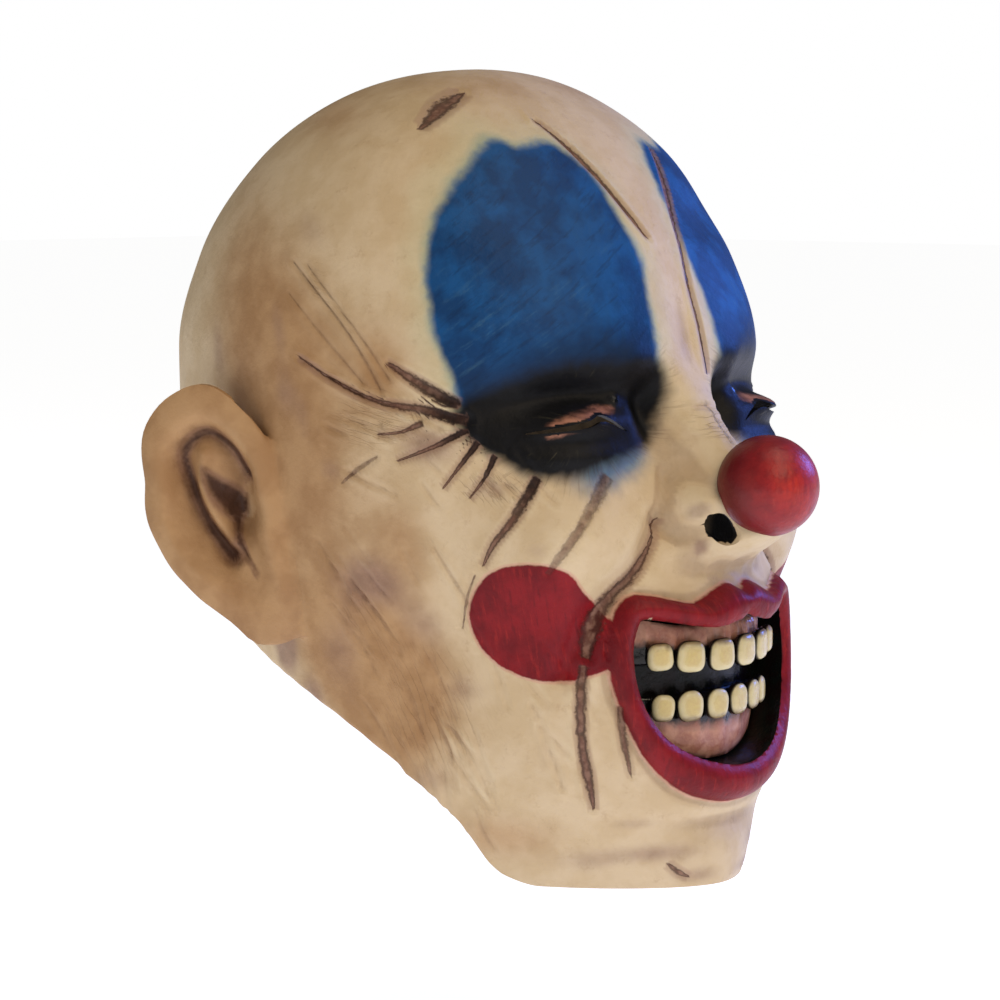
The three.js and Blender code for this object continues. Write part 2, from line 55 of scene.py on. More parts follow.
bpy.context.scene.camera = camera

# Studio: a white acrylic table lit from below, a pale room round it and four soft lamps: a warm one high
# in front of the face, one overhead, a weak one on the left and a violet-blue one on the right.


def linear(colour):
    """An sRGB hex colour as linear RGBA."""
    shares = [int(colour[i : i + 2], 16) / 255 for i in (1, 3, 5)]
    return [s / 12.92 if s <= 0.04045 else ((s + 0.055) / 1.055) ** 2.4 for s in shares] + [1]


def add(tree, kind, inputs=None, **settings):
    """A node with its settings, and a link or a value for each named or numbered input."""
    made = tree.nodes.new("ShaderNode" + kind)
    for name, value in settings.items():
        setattr(made, name, value)
    for socket, value in (inputs or {}).items():
        if isinstance(value, bpy.types.Node):
            value = next(out for out in value.outputs if out.enabled)
        if isinstance(value, bpy.types.NodeSocket):
            tree.links.new(value, made.inputs[socket])
        else:
            made.inputs[socket].default_value = value
    return made


FLOOR_LEVEL, FLOOR_GLOW, ROOM_LIGHT, BACKDROP = -0.33, 0.85, 0.14, 1.0
acrylic = bpy.data.materials.new("lit_white_acrylic")
acrylic.use_nodes = True
shader = acrylic.node_tree.nodes["Principled BSDF"]
shader.inputs["Base Color"].default_value = linear("#F4F3F1")
shader.inputs["Roughness"].default_value = 0.9
shader.inputs["Emission Color"].default_value = linear("#FFFFFF")
shader.inputs["Emission Strength"].default_value = FLOOR_GLOW
floor_mesh = bpy.data.meshes.new("studio_floor")
corners = [(x, y, FLOOR_LEVEL) for x, y in ((-9, -9), (9, -9), (9, 9), (-9, 9))]
floor_mesh.from_pydata(corners, [], [(0, 1, 2, 3)])
floor_mesh.materials.append(acrylic)
floor = bpy.data.objects.new("studio_floor", floor_mesh)
bpy.context.scene.collection.objects.link(floor)

room = bpy.data.worlds.new("pale_room")
room.use_nodes = True
sky = room.node_tree.nodes["Background"]
sky.inputs["Color"].default_value = linear("#FFFFFF")
seen = add(room.node_tree, "LightPath").outputs["Is Camera Ray"]
strength = add(room.node_tree, "MapRange", {"Value": seen, "To Min": ROOM_LIGHT, "To Max": BACKDROP})
room.node_tree.links.new(strength.outputs[0], sky.inputs["Strength"])
bpy.context.scene.world = room
bpy.context.scene.view_settings.view_transform = "Standard"
for name, place, size, power, colour in (
    ("key_lamp", (-0.35, -1.25, 0.75), 0.7, 6.5, "#FFE8C8"),
    ("top_lamp", (0.1, -0.6, 1.2), 0.8, 5.6, "#FFF0DC"),
    ("side_lamp", (-1.5, 0.1, 0.3), 0.9, 1.4, "#FFDDB4"),
    ("violet_lamp", (1.05, -0.42, 0.3), 0.35, 9.5, "#5A84FF"),
):
    lamp = bpy.data.objects.new(name, bpy.data.lights.new(name, "AREA"))
    lamp.data.size, lamp.data.energy, lamp.data.color = size, power, linear(colour)[:3]
    lamp.location = place
    lamp.rotation_euler = (look_at - lamp.location).to_track_quat("-Z", "Y").to_euler()
    bpy.context.scene.collection.objects.link(lamp)

# Mask skin: a full head of slush-cast latex rubber about 2 mm thick, poured in a mould of a sculpted
# head and open at the neck. The face is painted by hand over an airbrushed tan, and the eye slits and
# nostrils are cut through. Lengths here are millimetres until a mesh is made.
HEIGHT, HALF_WIDTH, FACE_REACH, SKULL_REACH = 260, 91.5, 96, 108
WALL, GAP = 2, 0.3
NOSE_RISE, LIP_RISE = 24, 3.7
EYE_SLIT, NOSTRIL_RADIUS, NOSTRIL_ACROSS, NOSTRIL_DROP, NOSTRIL_TILT = 2, 4, 11, 147.4, 30
MOUTH_HALF_WIDTH, MOUTH_DROP, MOUTH_DEPTH, FLOOR_RADIUS = 48.4, 193.4, 16.4, 57

# Level sections: drop, half width, reach to the front and to the back as shares, squareness in front
sections = np.array([
    (0, 0, 0, 0, 2.1),
    (0.008, 0.227, 0.185, 0.231, 2.1),
    (0.04, 0.489, 0.38, 0.452, 2.1),
    (0.12, 0.773, 0.641, 0.702, 2.1),
    (0.24, 0.943, 0.859, 0.913, 2.1),
    (0.36, 1, 0.967, 1, 2.1),
    (0.46, 1, 1, 0.99, 2.15),
    (0.6, 0.966, 1.065, 0.904, 2.15),
    (0.72, 0.898, 1.13, 0.712, 2.1),
    (0.86, 0.807, 1.168, 0.596, 1.95),
    (0.98, 0.716, 1.12, 0.538, 1.8),
    (1.08, 0.636, 1.054, 0.481, 1.75),
])
# The neck edge: degrees round from the face's midline, share of HEIGHT
neck_edge = np.array([
    (0, 1), (47, 1), (54, 0.988), (63, 0.916), (77, 0.84), (95, 0.768), (130, 0.712), (180, 0.708),
])


def smooth_through(x, rows, column, at):
    """A monotone cubic through one column of a table."""
    y = rows[:, column]
    span = np.diff(x)
    rise = np.diff(y) / span
    slope = np.concatenate([rise[:1], np.zeros(len(x) - 2), rise[-1:]])
    same = rise[:-1] * rise[1:] > 0
    slope[1:-1][same] = (2 * rise[:-1] * rise[1:] / (rise[:-1] + rise[1:] + (~same)))[same]
    k = np.clip(np.searchsorted(x, at, side="right") - 1, 0, len(x) - 2)
    t = np.clip((at - x[k]) / span[k], 0, 1)
    bend = t * t * (3 - 2 * t)
    swing = span[k] * (t * (1 - t) ** 2 * slope[k] - t * t * (1 - t) * slope[k + 1])
    return y[k] * (1 - bend) + y[k + 1] * bend + swing


def bare_head(turn, drop):
    """Points of the bare head by the angle from the face's midline and the drop below the crown."""
    root = np.sqrt(drop / HEIGHT)
    width, front, back, square = (
        smooth_through(np.sqrt(sections[:, 0]), sections, k, root) for k in (1, 2, 3, 4)
    )
    sine, cosine = np.sin(turn), np.cos(turn)
    power = 2 / np.where(cosine > 0, square, 2.1)
    depth = np.where(cosine > 0, FACE_REACH * front, SKULL_REACH * back)
    x = HALF_WIDTH * width * np.sign(sine) * np.abs(sine) ** power
    y = -depth * np.sign(cosine) * np.abs(cosine) ** power
    return np.stack(np.broadcast_arrays(x, y, WALL - drop), -1)


# How far round the head each angle lies from the midline, level by level
CHART_STEP, CHART_END = 2, 300
chart_drops = np.arange(0, CHART_END + 1, CHART_STEP)
chart_turns = np.radians(np.arange(0, 181))
chart_ring = bare_head(chart_turns[None, :], chart_drops[:, None] + 1e-6)
chart = np.concatenate([
    np.zeros((len(chart_drops), 1)),
    np.cumsum(np.linalg.norm(np.diff(chart_ring, axis=1), axis=2), axis=1),
], 1)


def across_at(turn, drop):
    """Millimetres round from the face's midline, by the angle and the drop."""
    row = np.clip(drop / CHART_STEP, 0, len(chart) - 1.001)
    column = np.clip(np.degrees(np.abs(turn)), 0, 179.999)
    i, j = row.astype(int), column.astype(int)
    u, v = row - i, column - j
    upper = chart[i, j] * (1 - v) + chart[i, j + 1] * v
    lower = chart[i + 1, j] * (1 - v) + chart[i + 1, j + 1] * v
    return np.sign(turn) * (upper * (1 - u) + lower * u)


def turn_at(across, drop):
    """The angle, by the millimetres round from the midline and the drop."""
    row = np.clip(drop / CHART_STEP, 0, len(chart) - 1.001)
    i = row.astype(int)
    u = (row - i)[..., None]
    lengths = chart[i] * (1 - u) + chart[i + 1] * u
    k = np.clip((lengths < np.abs(across)[..., None]).sum(-1) - 1, 0, 179)
    low = np.take_along_axis(lengths, k[..., None], -1)[..., 0]
    high = np.take_along_axis(lengths, k[..., None] + 1, -1)[..., 0]
    return np.sign(across) * np.radians(k + np.clip((np.abs(across) - low) / (high - low), 0, 1))


def rounded(points, closed=False, steps=6):
    """Points of a line or outline, made round."""
    points = np.asarray(points, float)
    count = len(points)
    made = []
    for i in range(count if closed else count - 1):
        if closed:
            p = [points[(i + k) % count] for k in (-1, 0, 1, 2)]
        else:
            p = [points[min(max(i + k, 0), count - 1)] for k in (-1, 0, 1, 2)]
        for t in np.arange(steps) / steps:
            made.append(0.5 * (
                2 * p[1] + (p[2] - p[0]) * t
                + (2 * p[0] - 5 * p[1] + 4 * p[2] - p[3]) * t * t
                + (3 * p[1] - p[0] - 3 * p[2] + p[3]) * t**3
            ))
    return np.array(made if closed else [*made, points[-1]])


def line_mm(line, x, y, half=None):
    """Distance to a line, less its half width where one is given for each point."""
    best = np.full(np.shape(x), 1e3)
    half = np.zeros(len(line)) if half is None else half
    for (x0, y0), (x1, y1), w0, w1 in zip(line, line[1:], half, half[1:]):
        dx, dy = x1 - x0, y1 - y0
        t = np.clip(((x - x0) * dx + (y - y0) * dy) / (dx * dx + dy * dy + 1e-9), 0, 1)
        best = np.minimum(best, np.hypot(x - x0 - t * dx, y - y0 - t * dy) - w0 - t * (w1 - w0))
    return best


def stroke_mm(line, x, y):
    """Signed distance across a line, its half width there, and how far a place lies past its ends."""
    best, across, half, past = (np.full(np.shape(x), v) for v in (1e3, 1e3, 1.0, 0.0))
    last = len(line) - 2
    for i, ((x0, y0, w0), (x1, y1, w1)) in enumerate(zip(line, line[1:])):
        dx, dy = x1 - x0, y1 - y0
        run = ((x - x0) * dx + (y - y0) * dy) / (dx * dx + dy * dy + 1e-9)
        t = np.clip(run, 0, 1)
        off = np.hypot(x - x0 - t * dx, y - y0 - t * dy)
        nearer = off < best
        best = np.where(nearer, off, best)
        across = np.where(nearer, np.where((x - x0) * dy > (y - y0) * dx, off, -off), across)
        half = np.where(nearer, w0 + t * (w1 - w0), half)
        over = np.maximum(-run if i == 0 else 0, run - 1 if i == last else 0) * math.hypot(dx, dy)
        past = np.where(nearer, np.maximum(over, 0), past)
    return across, half, past


def outline_mm(outline, x, y):
    """Distance to a closed outline, below zero inside it."""
    best, inside = np.full(np.shape(x), 1e3), np.zeros(np.shape(x), bool)
    for (x0, y0), (x1, y1) in zip(outline, np.roll(outline, -1, 0)):
        dx, dy = x1 - x0, y1 - y0
        t = np.clip(((x - x0) * dx + (y - y0) * dy) / (dx * dx + dy * dy + 1e-9), 0, 1)
        best = np.minimum(best, np.hypot(x - x0 - t * dx, y - y0 - t * dy))
        if dy:
            inside ^= ((y0 > y) != (y1 > y)) & (x < x0 + (y - y0) * dx / dy)
    return np.where(inside, -best, best)


def bell(share):
    """1 in the middle, falling away smoothly, with almost nothing left at 2."""
    return np.exp(-2.5 * share)


def ease(x, start, end):
    """A smooth rise from 0 at the start to 1 at the end."""
    t = np.clip((x - start) / (end - start), 0, 1)
    return t * t * (3 - 2 * t)


# Rounded forms, the same on both sides: millimetres round from the midline, down from the crown, half
# width, half height, rise, tilt in degrees and power
forms = (
    (41.6, 47.8, 35.3, 14.6, -2.55, 0, 1),  # dip in the forehead
    (45.8, 81.1, 39.3, 20.8, 1.02, 0, 1),  # brow
    (22.9, 93.6, 14.6, 9.4, 2.04, -15, 1),  # inner brow
    (0, 87.4, 9.2, 22.9, -1.53, 0, 1),  # frown valley
    (45.8, 104, 37.5, 11.4, -8.08, 4, 1),  # eye socket
    (18.8, 108.2, 9.3, 15.6, -8.08, 0, 1),  # inner corner of the eye
    (47.9, 110.2, 20.8, 8.3, 8.93, 4, 1),  # closed lid
    (47.9, 121.7, 27, 6.2, 3.06, 2, 1),  # bag under the eye
    (54, 147.7, 35.3, 29.1, 9.5, 20, 1),  # cheek
    (99.7, 183, 45.8, 41.6, -4.18, 0, 1),  # hollow of the cheek
    (116.2, 85.3, 37.5, 35.4, -2.66, 0, 1),  # temple
    (0, 193.4, 54, 45.8, 4.7, 0, 1.6),  # muzzle
    (31.5, 104.2, 3.2, 2.6, 1.6, 0, 1),  # eyeball at the inner corner
    (0, 239.2, 35.3, 7.3, -3.01, 0, 1),  # fold under the lip
    (0, 253.8, 31.1, 14.6, 1.5, 0, 1),  # chin
    (0, 176.8, 38.4, 46.8, 6.1, 0, 1),  # snout
    (14.3, 138.3, 7.6, 9.4, 8.6, 0, 1),  # nostril wing
)
creases = (
    (3.2, 2.1, rounded([(18.3, 128.7), (20.6, 136.5), (22.9, 143), (18.3, 148.7)])),  # round the nostril wing
    (6.9, 3.8, rounded([(23.8, 143.5), (32.9, 156), (43, 164.3), (52.2, 174.7), (58.6, 189.3)])),  # smile fold
)


def big_relief(across, drop):
    """How far the large forms stand off the bare head."""
    side = np.abs(across)
    rise = np.zeros(np.shape(side))
    for at, down, wide, tall, height, tilt, power in forms:
        x, y = side - at, drop - down
        c, s = math.cos(math.radians(tilt)), math.sin(math.radians(tilt))
        rise += height * bell((((x * c + y * s) / wide) ** 2 + ((y * c - x * s) / tall) ** 2) ** power)
    for wide, depth, line in creases:
        rise -= depth * bell((line_mm(line, side, drop) / wide) ** 2)
    half = 8.9 + 5.7 * np.clip((drop - 104) / 45.8, 0, 1)
    bridge = (0.1 + 0.9 * ease(drop, 99.8, 143.5)) * (1 - ease(drop, 149.8, 161.2)) * ease(drop, 87.4, 104)
    return rise + NOSE_RISE * bridge * np.exp(-1.2 * (side / half) ** 2.6)


# Lips, seen from the middle of the mouth: angle up from the level, inner and outer edge as shares of
# MOUTH_HALF_WIDTH
lip_edges = np.array([
    (-90, 0.56, 0.805), (-70, 0.57, 0.82), (-50, 0.61, 0.845), (-30, 0.675, 0.855),
    (-10, 0.735, 0.885), (8, 0.785, 0.945), (20, 0.82, 0.98), (30, 0.83, 1), (37, 0.66, 0.968),
    (43, 0.527, 0.839), (48, 0.462, 0.71), (55, 0.409, 0.615), (66, 0.376, 0.602),
    (80, 0.366, 0.613), (90, 0.387, 0.548),
])


def lip_edge(angle, column):
    up = np.where(angle <= 90, angle, 180 - angle)
    return MOUTH_HALF_WIDTH * smooth_through(lip_edges[:, 0], lip_edges, column, up)


def lip_share(across, drop):
    """0 on the lips' inner edge and 1 on their outer edge."""
    side, up = np.abs(across), MOUTH_DROP - drop
    angle = np.degrees(np.arctan2(up, side))
    inner, outer = lip_edge(angle, 1), lip_edge(angle, 2)
    return (np.hypot(side, up) - inner) / (outer - inner)


# Grooves drawn in the latex, most of them painted brown: depth, darkness of the paint, and points, each
# round from the midline, down from the crown, and half width. These are on both sides of the face.
grooves = (
    (0.9, 0.85, [(139, 92, 0.2), (124, 100, 0.4), (110, 105, 0.6), (96, 107, 1.1), (82, 110, 1.6)]),
    (0.8, 0.8, [(106, 93, 0.5), (96, 99, 1.3), (84, 106, 1.5)]),
    (0.7, 0.3, [(134, 62, 0.2), (121, 80, 0.35), (109, 102, 0.2)]),
    (0.6, 0.25, [(128, 63, 0.2), (117, 81, 0.35), (106, 98, 0.2)]),
    (0.5, 0.25, [(139, 72, 0.2), (127, 87, 0.35), (115, 100, 0.2)]),
    (0.6, 0.8, [(82, 113, 0.8), (92, 118, 0.5), (105, 123, 0.2)]),
    (0.5, 0.8, [(79, 117, 0.7), (85, 124, 0.45), (91, 131, 0.2)]),
    (0.4, 0.75, [(74, 121, 0.7), (78, 128, 0.4), (83, 134, 0.2)]),
    (0.5, 0.7, [(96, 111, 0.8), (103, 114, 0.4), (111, 115, 0.2)]),
    (0.6, 0.45, [(112, 122, 0.2), (119, 126, 0.6), (126, 131, 0.2)]),
    (0.7, 0.8, [(62, 128, 1.0), (70, 139.7, 0.9), (77, 148, 0.6), (81, 155, 0.2)]),
    (0.3, 0.5, [(84, 158, 0.2), (88, 166, 0.3), (91, 176, 0.2)]),
    (0.3, 0.5, [(40, 128, 1.6), (50, 141, 1.1), (57, 150, 1.0), (62, 157, 0.6)]),
    (0.9, 1.0, [(22, 142, 0.15), (26, 149.5, 0.4), (34, 158.6, 1.1), (40, 163, 1.1), (46.5, 169.5, 1.8),
                (50, 176, 2.1), (52, 184, 1.2)]),
    (0.8, 0.8, [(53, 187, 1.1), (54.4, 197.5, 1.2), (54.3, 210, 1.1), (52, 222, 1.1), (49, 233, 0.3)]),
    (0.6, 0.6, [(42.5, 199, 0.5), (41.1, 211, 0.9), (38.5, 222, 0.2)]),
    (0.3, 0.7, [(22, 251.5, 0.3), (18, 254.5, 0.6), (14, 256.5, 0.2)]),
)
# These cross the forehead and crown and differ from side to side
scars = (
    (0.7, 0.85, [(-21, 17.5, 0.2), (-19.3, 21, 0.35), (-15.7, 29.7, 0.8), (-12, 38.1, 0.6), (-8.6, 46.8, 0.55),
                 (-5, 55, 0.2)]),
    (0.8, 0.9, [(27.4, 26.3, 0.2), (19.8, 38.1, 1.0), (14.5, 47, 0.8), (11.3, 54.1, 0.5), (7.3, 70, 0.4),
                (7.4, 84.5, 0.35), (7, 98, 0.2)]),
    (0.4, 0.85, [(-33.6, 8.4, 0.3), (-48, 13.7, 1.1), (-62, 20.4, 0.3)]),
)
# Loose folds, many and nearly parallel, drawn with a fixed seed: how many, where their middles lie, how
# far they scatter, which way they run in degrees, and their length
fold_areas = (
    (26, (100, 206), (24, 26), 117, 26),  # jaw
    (9, (126, 178), (14, 14), 120, 18),  # under the ear
    (6, (74, 130), (12, 4), 128, 8),  # under the eye
    (8, (116, 112), (12, 11), 165, 14),  # beside the eye
    (7, (0, 112), (3, 6), 180, 12),  # across the bridge of the nose
)
chance = np.random.default_rng(11)
folds = []
for count, middle, scatter, heading, length in fold_areas:
    for _ in range(count):
        centre = np.array(middle) + np.clip(chance.normal(size=2), -1.8, 1.8) * scatter
        way = math.radians(heading + 9 * chance.normal())
        reach = 0.5 * length * chance.uniform(0.5, 1.4)
        step = np.array([math.cos(way), math.sin(way)]) * reach
        bend = np.array([-step[1], step[0]]) * chance.uniform(-0.16, 0.16)
        half = chance.uniform(0.25, 0.5)
        points = [(*(centre - step), 0.15), (*(centre + bend), half), (*(centre + step), 0.15)]
        folds.append((chance.uniform(0.35, 0.85), 0.0, points))


def run_of(row):
    depth, ink, points = row
    return depth, ink, rounded(points)


groove_runs, scar_runs, fold_runs = ([run_of(row) for row in rows] for rows in (grooves, scars, folds))


def carved(x, y, runs):
    """The relief of grooves: a sunk line between two raised edges."""
    rise = np.zeros(np.shape(x))
    for depth, _, line in runs:
        low, high = line[:, :2].min(0) - 9, line[:, :2].max(0) + 9
        here = (x > low[0]) & (x < high[0]) & (y > low[1]) & (y < high[1])
        off = line_mm(line[:, :2], x[here], y[here], line[:, 2])
        edges = 0.5 * bell(((off - 1.7) / 1.4) ** 2)
        rise[here] += depth * (edges - bell((np.clip(off + 0.6, 0, 9) / 1.5) ** 2))
    return rise


def fine_relief(across, drop):
    """Lips, grooves and folds, and the two ridges over the mouth."""
    side = np.abs(across)
    share = lip_share(across, drop)
    rise = LIP_RISE * np.sin(math.pi * np.clip(share, 0, 1)) ** 0.8
    rise -= 2.2 * ease(-share, 0.0, 0.25) + 0.8 * bell(((share - 1.12) / 0.16) ** 2)
    rise += carved(side, drop, groove_runs) + carved(across, drop, scar_runs) + carved(side, drop, fold_runs)
    for at in (4.5, 11):
        rise += 0.8 * bell(((side - at) / 2.4) ** 2 + ((drop - 158) / 7) ** 2)
    return rise


def head_points(turn, drop, lift=0.0, fine=False):
    """Points off the bare head, lifted square to the finished surface."""
    across = across_at(turn, drop)
    nudge = 0.01
    ahead = bare_head(turn + nudge, drop) - bare_head(turn - nudge, drop)
    down = np.maximum(drop, 0.6)
    below = bare_head(turn, down + 0.5) - bare_head(turn, down - 0.5)
    out = np.cross(below, ahead)
    out /= np.linalg.norm(out, axis=-1, keepdims=True)
    reach = big_relief(across, drop) + (fine_relief(across, drop) if fine else 0)
    if lift:
        tip = np.hypot(
            (big_relief(across + 1, drop) - big_relief(across - 1, drop)) / 2,
            (big_relief(across, drop + 1) - big_relief(across, drop - 1)) / 2,
        )
        reach = reach + lift * np.minimum(np.hypot(1, tip), 2.4)
    return bare_head(turn, drop) + out * reach[..., None]


def face_points(across, drop, lift=0.0):
    """Points on the head by millimetres round and down, off its surface by lift."""
    across, drop = np.broadcast_arrays(np.asarray(across, float), np.asarray(drop, float))
    return head_points(turn_at(across, drop), drop, lift)


def lofted(rings, first, last):
    """Points and faces of a closed solid of rings, with a fan to a point at both ends."""
    rings = np.asarray(rings)
    count, n = rings.shape[:2]
    here = 1 + np.arange(n)
    after = 1 + (np.arange(n) + 1) % n
    faces = [(0, a, b) for a, b in zip(here, after)]
    for r in range(1, count):
        upper, lower = (r - 1) * n, r * n
        faces += [(upper + a, lower + a, lower + b, upper + b) for a, b in zip(here, after)]
    end = 1 + count * n
    faces += [(end, (count - 1) * n + b, (count - 1) * n + a) for a, b in zip(here, after)]
    return np.vstack([first, rings.reshape(-1, 3), last]), faces


def dome(turns, shares, lift=0.0, past=0.0, fine=False):
    """The head as rings from the crown to the neck edge, closed underneath."""
    edge = HEIGHT * smooth_through(neck_edge[:, 0], neck_edge, 1, np.degrees(np.abs(turns)))
    drops = shares[:, None] * edge[None, :]
    drops[-1] += past
    grid = np.broadcast_to(turns[None, :], drops.shape)
    rings = head_points(grid, drops, lift, fine)
    points, faces = lofted(rings, (0, 0, WALL + lift), rings[-1].mean(0))
    return points, faces, across_at(grid, drops).ravel(), drops.ravel()


def ring_turns(*parts):
    """Angles round the head, from the nape round the face and back: degrees and number of steps."""
    half = np.concatenate([np.linspace(a, b, n, endpoint=False) for a, b, n in parts])
    return np.radians(np.concatenate([-half[::-1][:-1] if half[0] == 0 else -half[::-1], half, [180]]))


def as_object(name, points, faces):
    """A mesh object at the origin, with its place in its points."""
    mesh = bpy.data.meshes.new(name)
    mesh.from_pydata(np.asarray(points).tolist(), [], [tuple(int(i) for i in f) for f in faces])
    made = bpy.data.objects.new(name, mesh)
    bpy.context.scene.collection.objects.link(made)
    return made


def join_or_cut(base, tool, how):
    """base joined with, cut by or limited to tool, which is used up."""
    step = base.modifiers.new("step", "BOOLEAN")
    step.operation, step.solver, step.object = how, "MANIFOLD", tool
    result = bpy.data.meshes.new_from_object(base.evaluated_get(bpy.context.evaluated_depsgraph_get()))
    base.modifiers.clear()
    base.data = result
    bpy.data.objects.remove(tool)
    return base


def mesh_points(mesh):
    flat = np.empty(3 * len(mesh.vertices))
    mesh.vertices.foreach_get("co", flat)
    return flat.reshape(-1, 3)


# The head's outside, finest on the face, and its plainer inside
outer_turns = ring_turns((0, 70, 100), (70, 125, 58), (125, 180, 14))
outer_shares = np.concatenate([0.1 * (np.arange(1, 25) / 24) ** 2, np.linspace(0.1, 1, 206)[1:]])
head, head_faces, head_across, head_drop = dome(outer_turns, outer_shares, fine=True)
skin = as_object("mask_skin_latex", head, head_faces)
inner_turns = ring_turns((0, 75, 34), (75, 180, 20))
inner_shares = np.concatenate([0.1 * (np.arange(1, 9) / 8) ** 2, np.linspace(0.1, 1, 61)[1:]])
inner, inner_faces, *_ = dome(inner_turns, inner_shares, -WALL, past=12)

# Ears: thick cupped plates with a broad rolled rim, a groove under it that runs down behind the inner
# fold, a bowl, and a long lobe in front below. Lines are back and up from the ear's centre, as shares of
# half its height.
EAR_HEIGHT, EAR_THICKNESS, EAR_FLARE, HELIX_RISE, BOWL_DEPTH, GROOVE_DEPTH = 87, 5, 24, 6, 9, 5
ear_outline = np.array([
    (0, 0.56), (20, 0.6), (50, 0.86), (68, 0.95), (82, 0.98), (104, 0.84), (123, 0.73), (152, 0.58),
    (192, 0.58), (218, 0.79), (234, 1.08), (243, 1.1), (253, 0.98), (262, 0.8), (276, 0.67),
    (300, 0.56), (331, 0.52), (360, 0.56),
])
ear_groove = rounded([
    (-0.2, 0.3), (-0.1, 0.5), (0.1, 0.62), (0.29, 0.45), (0.24, 0.17), (0.12, -0.08), (-0.06, -0.3),
])
ear_ridge = rounded([(0.1, 0.45), (0.12, 0.22), (0.02, -0.03), (-0.09, -0.2)])
# These outlines only darken the paint, a painted shade: the bowl's edge, the hollow under it and the fold in
# front of the lobe
bowl_edge = rounded([
    (0.12, 0.36), (0.02, 0.29), (-0.09, 0.19), (-0.14, 0.07), (-0.09, -0.03), (0.02, 0.06), (0.09, 0.2),
], closed=True)
low_hollow_shade = rounded([
    (0.13, -0.08), (0.04, -0.25), (-0.07, -0.38), (-0.2, -0.34), (-0.14, -0.18), (-0.03, -0.23),
], closed=True)
lobe_line = rounded([(-0.07, 0), (-0.13, -0.17), (-0.21, -0.29), (-0.3, -0.45)])
EAR_CENTRE = np.array([98.3, 21.8, WALL - 143.8])
ear_turn = math.radians(EAR_FLARE)
ear_back = np.array([math.sin(ear_turn), math.cos(ear_turn), 0])
ear_out = np.array([math.cos(ear_turn), -math.sin(ear_turn), 0])


def ear_face(share, angle):
    """Height of the ear's face and how dark it is painted, with painted shade in its grooves, bowl and folds,
    at shares of the way to its outline.
    """
    half = EAR_HEIGHT / 2
    reach = share * smooth_through(ear_outline[:, 0], ear_outline, 1, angle)
    u, v = reach * np.cos(np.radians(angle)), reach * np.sin(np.radians(angle))
    lobe = bell(((angle - 245) / 40) ** 2)
    bowl = bell(((u + 0.14) / 0.22) ** 2 + ((v - 0.04) / 0.36) ** 2)
    off = line_mm(ear_groove, u, v)
    height = HELIX_RISE * (ease(share, 0.4, 0.75) - 0.35 * share**8) * (1 - 0.7 * lobe)
    height = height - BOWL_DEPTH * bowl - GROOVE_DEPTH * bell((off / 0.13) ** 2)
    height = height + 0.5 * HELIX_RISE * bell((line_mm(ear_ridge, u, v) / 0.1) ** 2)
    height = height - 0.65 * half * np.maximum(0, -0.2 - u) ** 2
    dark = 0.75 * bell((off / 0.06) ** 2) + 0.3 * bell((off / 0.16) ** 2) + 0.25 * bowl
    dark = dark + ease(-outline_mm(bowl_edge, u, v), -0.06, 0.06)
    dark = dark + 0.7 * bell((line_mm(lobe_line, u, v) / 0.035) ** 2)
    dark = dark + 0.5 * ease(-outline_mm(low_hollow_shade, u, v), -0.05, 0.05)
    return half * u, half * v, height, np.clip(dark, 0, 1)


def ear(side):
    """Points and faces of an ear, and how dark each point is painted, its painted shade included."""
    angles = np.arange(100) * 3.6
    if side < 0:
        angles = angles[::-1]

    def layer(share, behind):
        x, y, height, dark = ear_face(np.full(len(angles), float(share)), angles)
        height = height - behind * EAR_THICKNESS * (1 - 0.5 * share**8)
        points = EAR_CENTRE + x[:, None] * ear_back + height[:, None] * ear_out
        points[:, 2] = EAR_CENTRE[2] + y
        return points * (side, 1, 1), dark * (1 - behind)

    layers = [layer(s, 0) for s in [*np.linspace(0.05, 0.94, 26), 0.97, 0.99, 1]]
    layers += [layer(s, 1) for s in (1, 0.97, 0.9, 0.75, 0.6, 0.4, 0.2)]
    middle, behind = layer(0, 0), layer(0, 1)
    points, faces = lofted([p for p, _ in layers], middle[0][0], behind[0][0])
    return points, faces, np.concatenate([middle[1][:1], *[d for _, d in layers], [0]])


ears = [ear(side) for side in (-1, 1)]
for number, (points, faces, _) in enumerate(ears):
    skin = join_or_cut(skin, as_object(f"ear_{number}", points, faces), "UNION")
skin = join_or_cut(skin, as_object("inside", inner, inner_faces), "DIFFERENCE")

# The closed pocket behind the lips: their inner outline, run back to a bowed floor
lip_angles = -90 + np.arange(180) * 2.0
lip_radius = lip_edge(lip_angles, 1)
lip_line = face_points(
    lip_radius * np.cos(np.radians(lip_angles)), MOUTH_DROP - lip_radius * np.sin(np.radians(lip_angles))
)
mouth_middle = lip_line.mean(0)
muzzle = -face_points(0.0, MOUTH_DROP)[1]


def floor_y(x):
    return MOUTH_DEPTH - muzzle + x * x / (2 * FLOOR_RADIUS)


def pocket(grow):
    flat = (lip_line - mouth_middle) * (1, 0, 1)
    reach = np.linalg.norm(flat, axis=1, keepdims=True)
    outline = mouth_middle + flat * (1 + grow / reach)
    rings = [outline * (1, 0, 1) + (0, -muzzle - 2 * MOUTH_DEPTH, 0)]
    floor_at = floor_y(outline[:, 0]) + grow
    for back in (1.2, 3, 5.5):
        ring = outline.copy()
        ring[:, 1] = np.minimum(lip_line[:, 1] + back, floor_at - 0.4)
        rings.append(ring)
    for share in (1, 0.96, 0.85, 0.7, 0.5, 0.3, 0.12):
        ring = mouth_middle + (outline - mouth_middle) * (share, 0, share)
        ring[:, 1] = floor_y(ring[:, 0]) + grow - 0.5 * (share == 1)
        rings.append(ring)
    return lofted(rings, rings[0].mean(0), (mouth_middle[0], floor_y(0) + grow, mouth_middle[2]))


